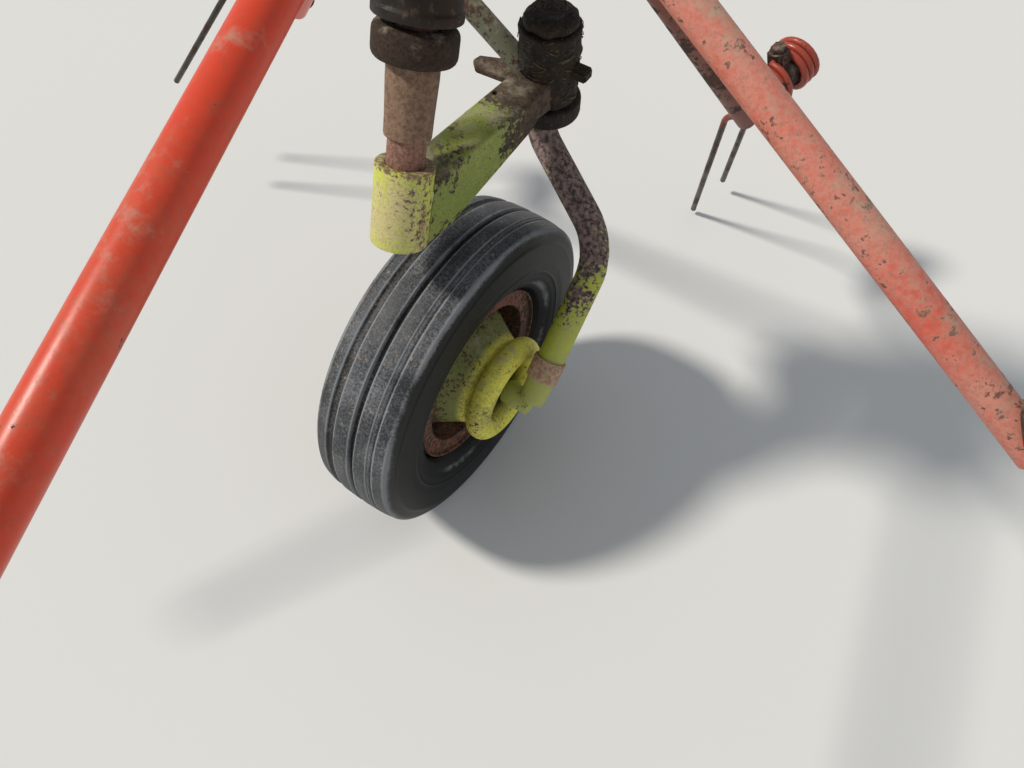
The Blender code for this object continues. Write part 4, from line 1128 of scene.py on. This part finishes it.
def tine_path():
    """The wire's centre line, in the coil's own frame."""
    turns = []
    for k in range(COIL_STEPS + 1):
        turned = COIL_TURNS * k / COIL_STEPS
        turns.append((-math.pi / 2 - 2 * math.pi * turned, COIL_START + COIL_PITCH * turned))

    def on_coil(angle, along):
        return Vector((along, COIL_RADIUS * math.cos(angle), -COIL_RADIUS * math.sin(angle)))

    def leg_of(side):
        start = on_coil(turns[-1][0], side * turns[-1][1])
        knee = start + KNEE_REACH * leg_way(math.radians(30.0))
        return bend([start, knee, knee + LEG_REACH * leg_way(math.radians(70.0))], (0.032,), 8)[1:]

    near_side = [on_coil(angle, -along) for angle, along in turns]
    far_side = [on_coil(angle, along) for angle, along in turns]
    return list(reversed(leg_of(-1))) + list(reversed(near_side)) + far_side + leg_of(1)


print("tine wire:", len(tine_path()), "points")

# %% Bolt heads
WASHER = 0.002          # thickness


def hex_bolt(shape, place, across, height, washer):
    """Add a bolt head on a washer. It stands along Z."""
    disc = turned_solid(tube(0, washer, 0, WASHER), 0.0006, 32, 2)
    shoulder = WASHER + height * 0.8
    top = WASHER + height
    bolt_profile = [(0, WASHER), (across, WASHER), (across, shoulder), (across * 0.86, top), (0, top)]
    for part in (disc, lathe(bolt_profile, 6, closed=False)):
        bmesh.ops.transform(part, matrix=place, verts=part.verts)
        scratch = bpy.data.meshes.new("part")
        part.to_mesh(scratch)
        part.free()
        shape.from_mesh(scratch)
        bpy.data.meshes.remove(scratch)


print("bolt heads ready")

# %% Arms, holders and tines
ARM_RADIUS = 0.014
SPOOL_RADIUS = 0.0215
arm_axis = [arm_point(along) for along in (0.0883, 0.2, 0.4, ARM_REACH)]
arm_finishes = [arm_faded, arm_red_in_painted_shade, arm_fresh, arm_fresh, arm_fresh]
for i, finish in enumerate(arm_finishes):
    number = i + 1
    place = ROTOR @ Matrix.Rotation(2 * math.pi * i / ARMS, 4, "Z")
    arm = sweep(bmesh.new(), arm_axis, ARM_RADIUS, 48, 0.0015)
    # drawn in the world's frame, so that no two arms have the same chips and spots
    bmesh.ops.transform(arm, matrix=place, verts=arm.verts)
    show(f"arm_tube_{number}", arm, WORLD, "rotor", finish, [f"arm_{number}"])

    holder = bmesh.new()
    sweep(holder, [(-COIL_MIDDLE + 0.004, 0, 0), (0.048, 0, 0)], SPOOL_RADIUS, 48, 0.002)
    add_box(holder, (0.019, 0.024, 0.0244), Matrix.Translation((0, 0, 0.0283)), 0.0015)
    hex_bolt(holder, Matrix.Translation((0, 0, 0.0393)), 0.0100, 0.0070, 0.0120)
    show(f"tine_spool_{number}", holder, place @ tine_frame, "rotor", holder_paint,
         [f"tine_holder_{number}"])

    wire = sweep(bmesh.new(), tine_path(), WIRE_RADIUS, 14, 0.001)
    show(f"double_tine_{number}", wire, place @ tine_frame, "rotor", spring,
         [f"tine_{number}"], 60.0)
print("arms, holders and tines:", ARMS)

# %% [markdown]
# ## Gearbox and flanges
# The gearbox is a casting with a lid, and its cross tube ends in the two flanges that bolt into the
# beam. None of this is in the photograph, so it stays plain. The flanges, the plug and the pins keep
# their solids and only get a finish.

# %% Gearbox
box_profile = [
    (0, 0.355), (0.052, 0.355), (0.058, 0.361), (0.058, 0.377), (0.078, 0.395), (0.078, 0.475),
    (0.072, 0.485), (0, 0.485),
]
gearbox = turned_solid(box_profile, 0.004)
sweep(gearbox, [(-0.1097, 0, AXLE_DROP), (0.1097, 0, AXLE_DROP)], 0.046, 64)
lumpy(gearbox, 0.0008, 0.02, 2.0)
show("gearbox_casting", gearbox, AXLE, "frame", housing_red, ["gearbox_housing"])
print("gearbox made")

# %% Lid and its bolts
LID_SEAT = 0.4953       # the top of the lid's edge
LID_BOLTS = 6
lid_profile = [
    (0, 0.4853), (0.070, 0.4853), (0.070, LID_SEAT), (0.040, LID_SEAT), (0.034, 0.5033), (0, 0.5033),
]
lid = turned_solid(lid_profile, 0.002)
show("gearbox_lid_cast", lid, AXLE, "frame", housing_red, ["gearbox_lid"])
lid_bolts = bmesh.new()
for i in range(LID_BOLTS):
    at = Matrix.Rotation(2 * math.pi * i / LID_BOLTS, 4, "Z") @ Matrix.Translation((0.055, 0, LID_SEAT))
    hex_bolt(lid_bolts, at, 0.0065, 0.0050, 0.0085)
show("lid_bolts", lid_bolts, AXLE, "frame", steel)
print("lid made, with bolts:", LID_BOLTS)

# %% Finishes for the solids that stay as they are
KEPT = {
    "oil_plug": steel, "beam_flange_right": housing_red, "beam_flange_left": housing_red,
    "swivel_pin": steel, "axle_pin": steel,
}
for node_name, finish in KEPT.items():
    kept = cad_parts[node_name]
    kept.data.materials.clear()
    kept.data.materials.append(finish)
print("solids kept:", len(KEPT))

# %% [markdown]
# ## Floor
# A plain pale floor lies where the tyre stands, just below it, so that the two don't share a plane.
# It is set dressing and no part of the machine, whose beam holds the rest of the unit.

# %% Floor
FLOOR_HALF = 60.0
FLOOR_GAP = 0.0005      # below the tyre's lowest point
floor_finish, tree, shader = start_finish("floor")
fill(shader, {"Base Color": (0.72, 0.71, 0.69), "Roughness": 0.9})
corners = [(x * FLOOR_HALF, y * FLOOR_HALF, 0) for x, y in ((-1, -1), (1, -1), (1, 1), (-1, 1))]
floor_mesh = bpy.data.meshes.new("floor")
floor_mesh.from_pydata(corners, [], [(0, 1, 2, 3)])
floor_mesh.materials.append(floor_finish)
floor = bpy.data.objects.new("floor", floor_mesh)
bpy.context.scene.collection.objects.link(floor)
floor.location = (0, 0, GROUND - FLOOR_GAP)
print("floor at", round(floor.location.z, 4))
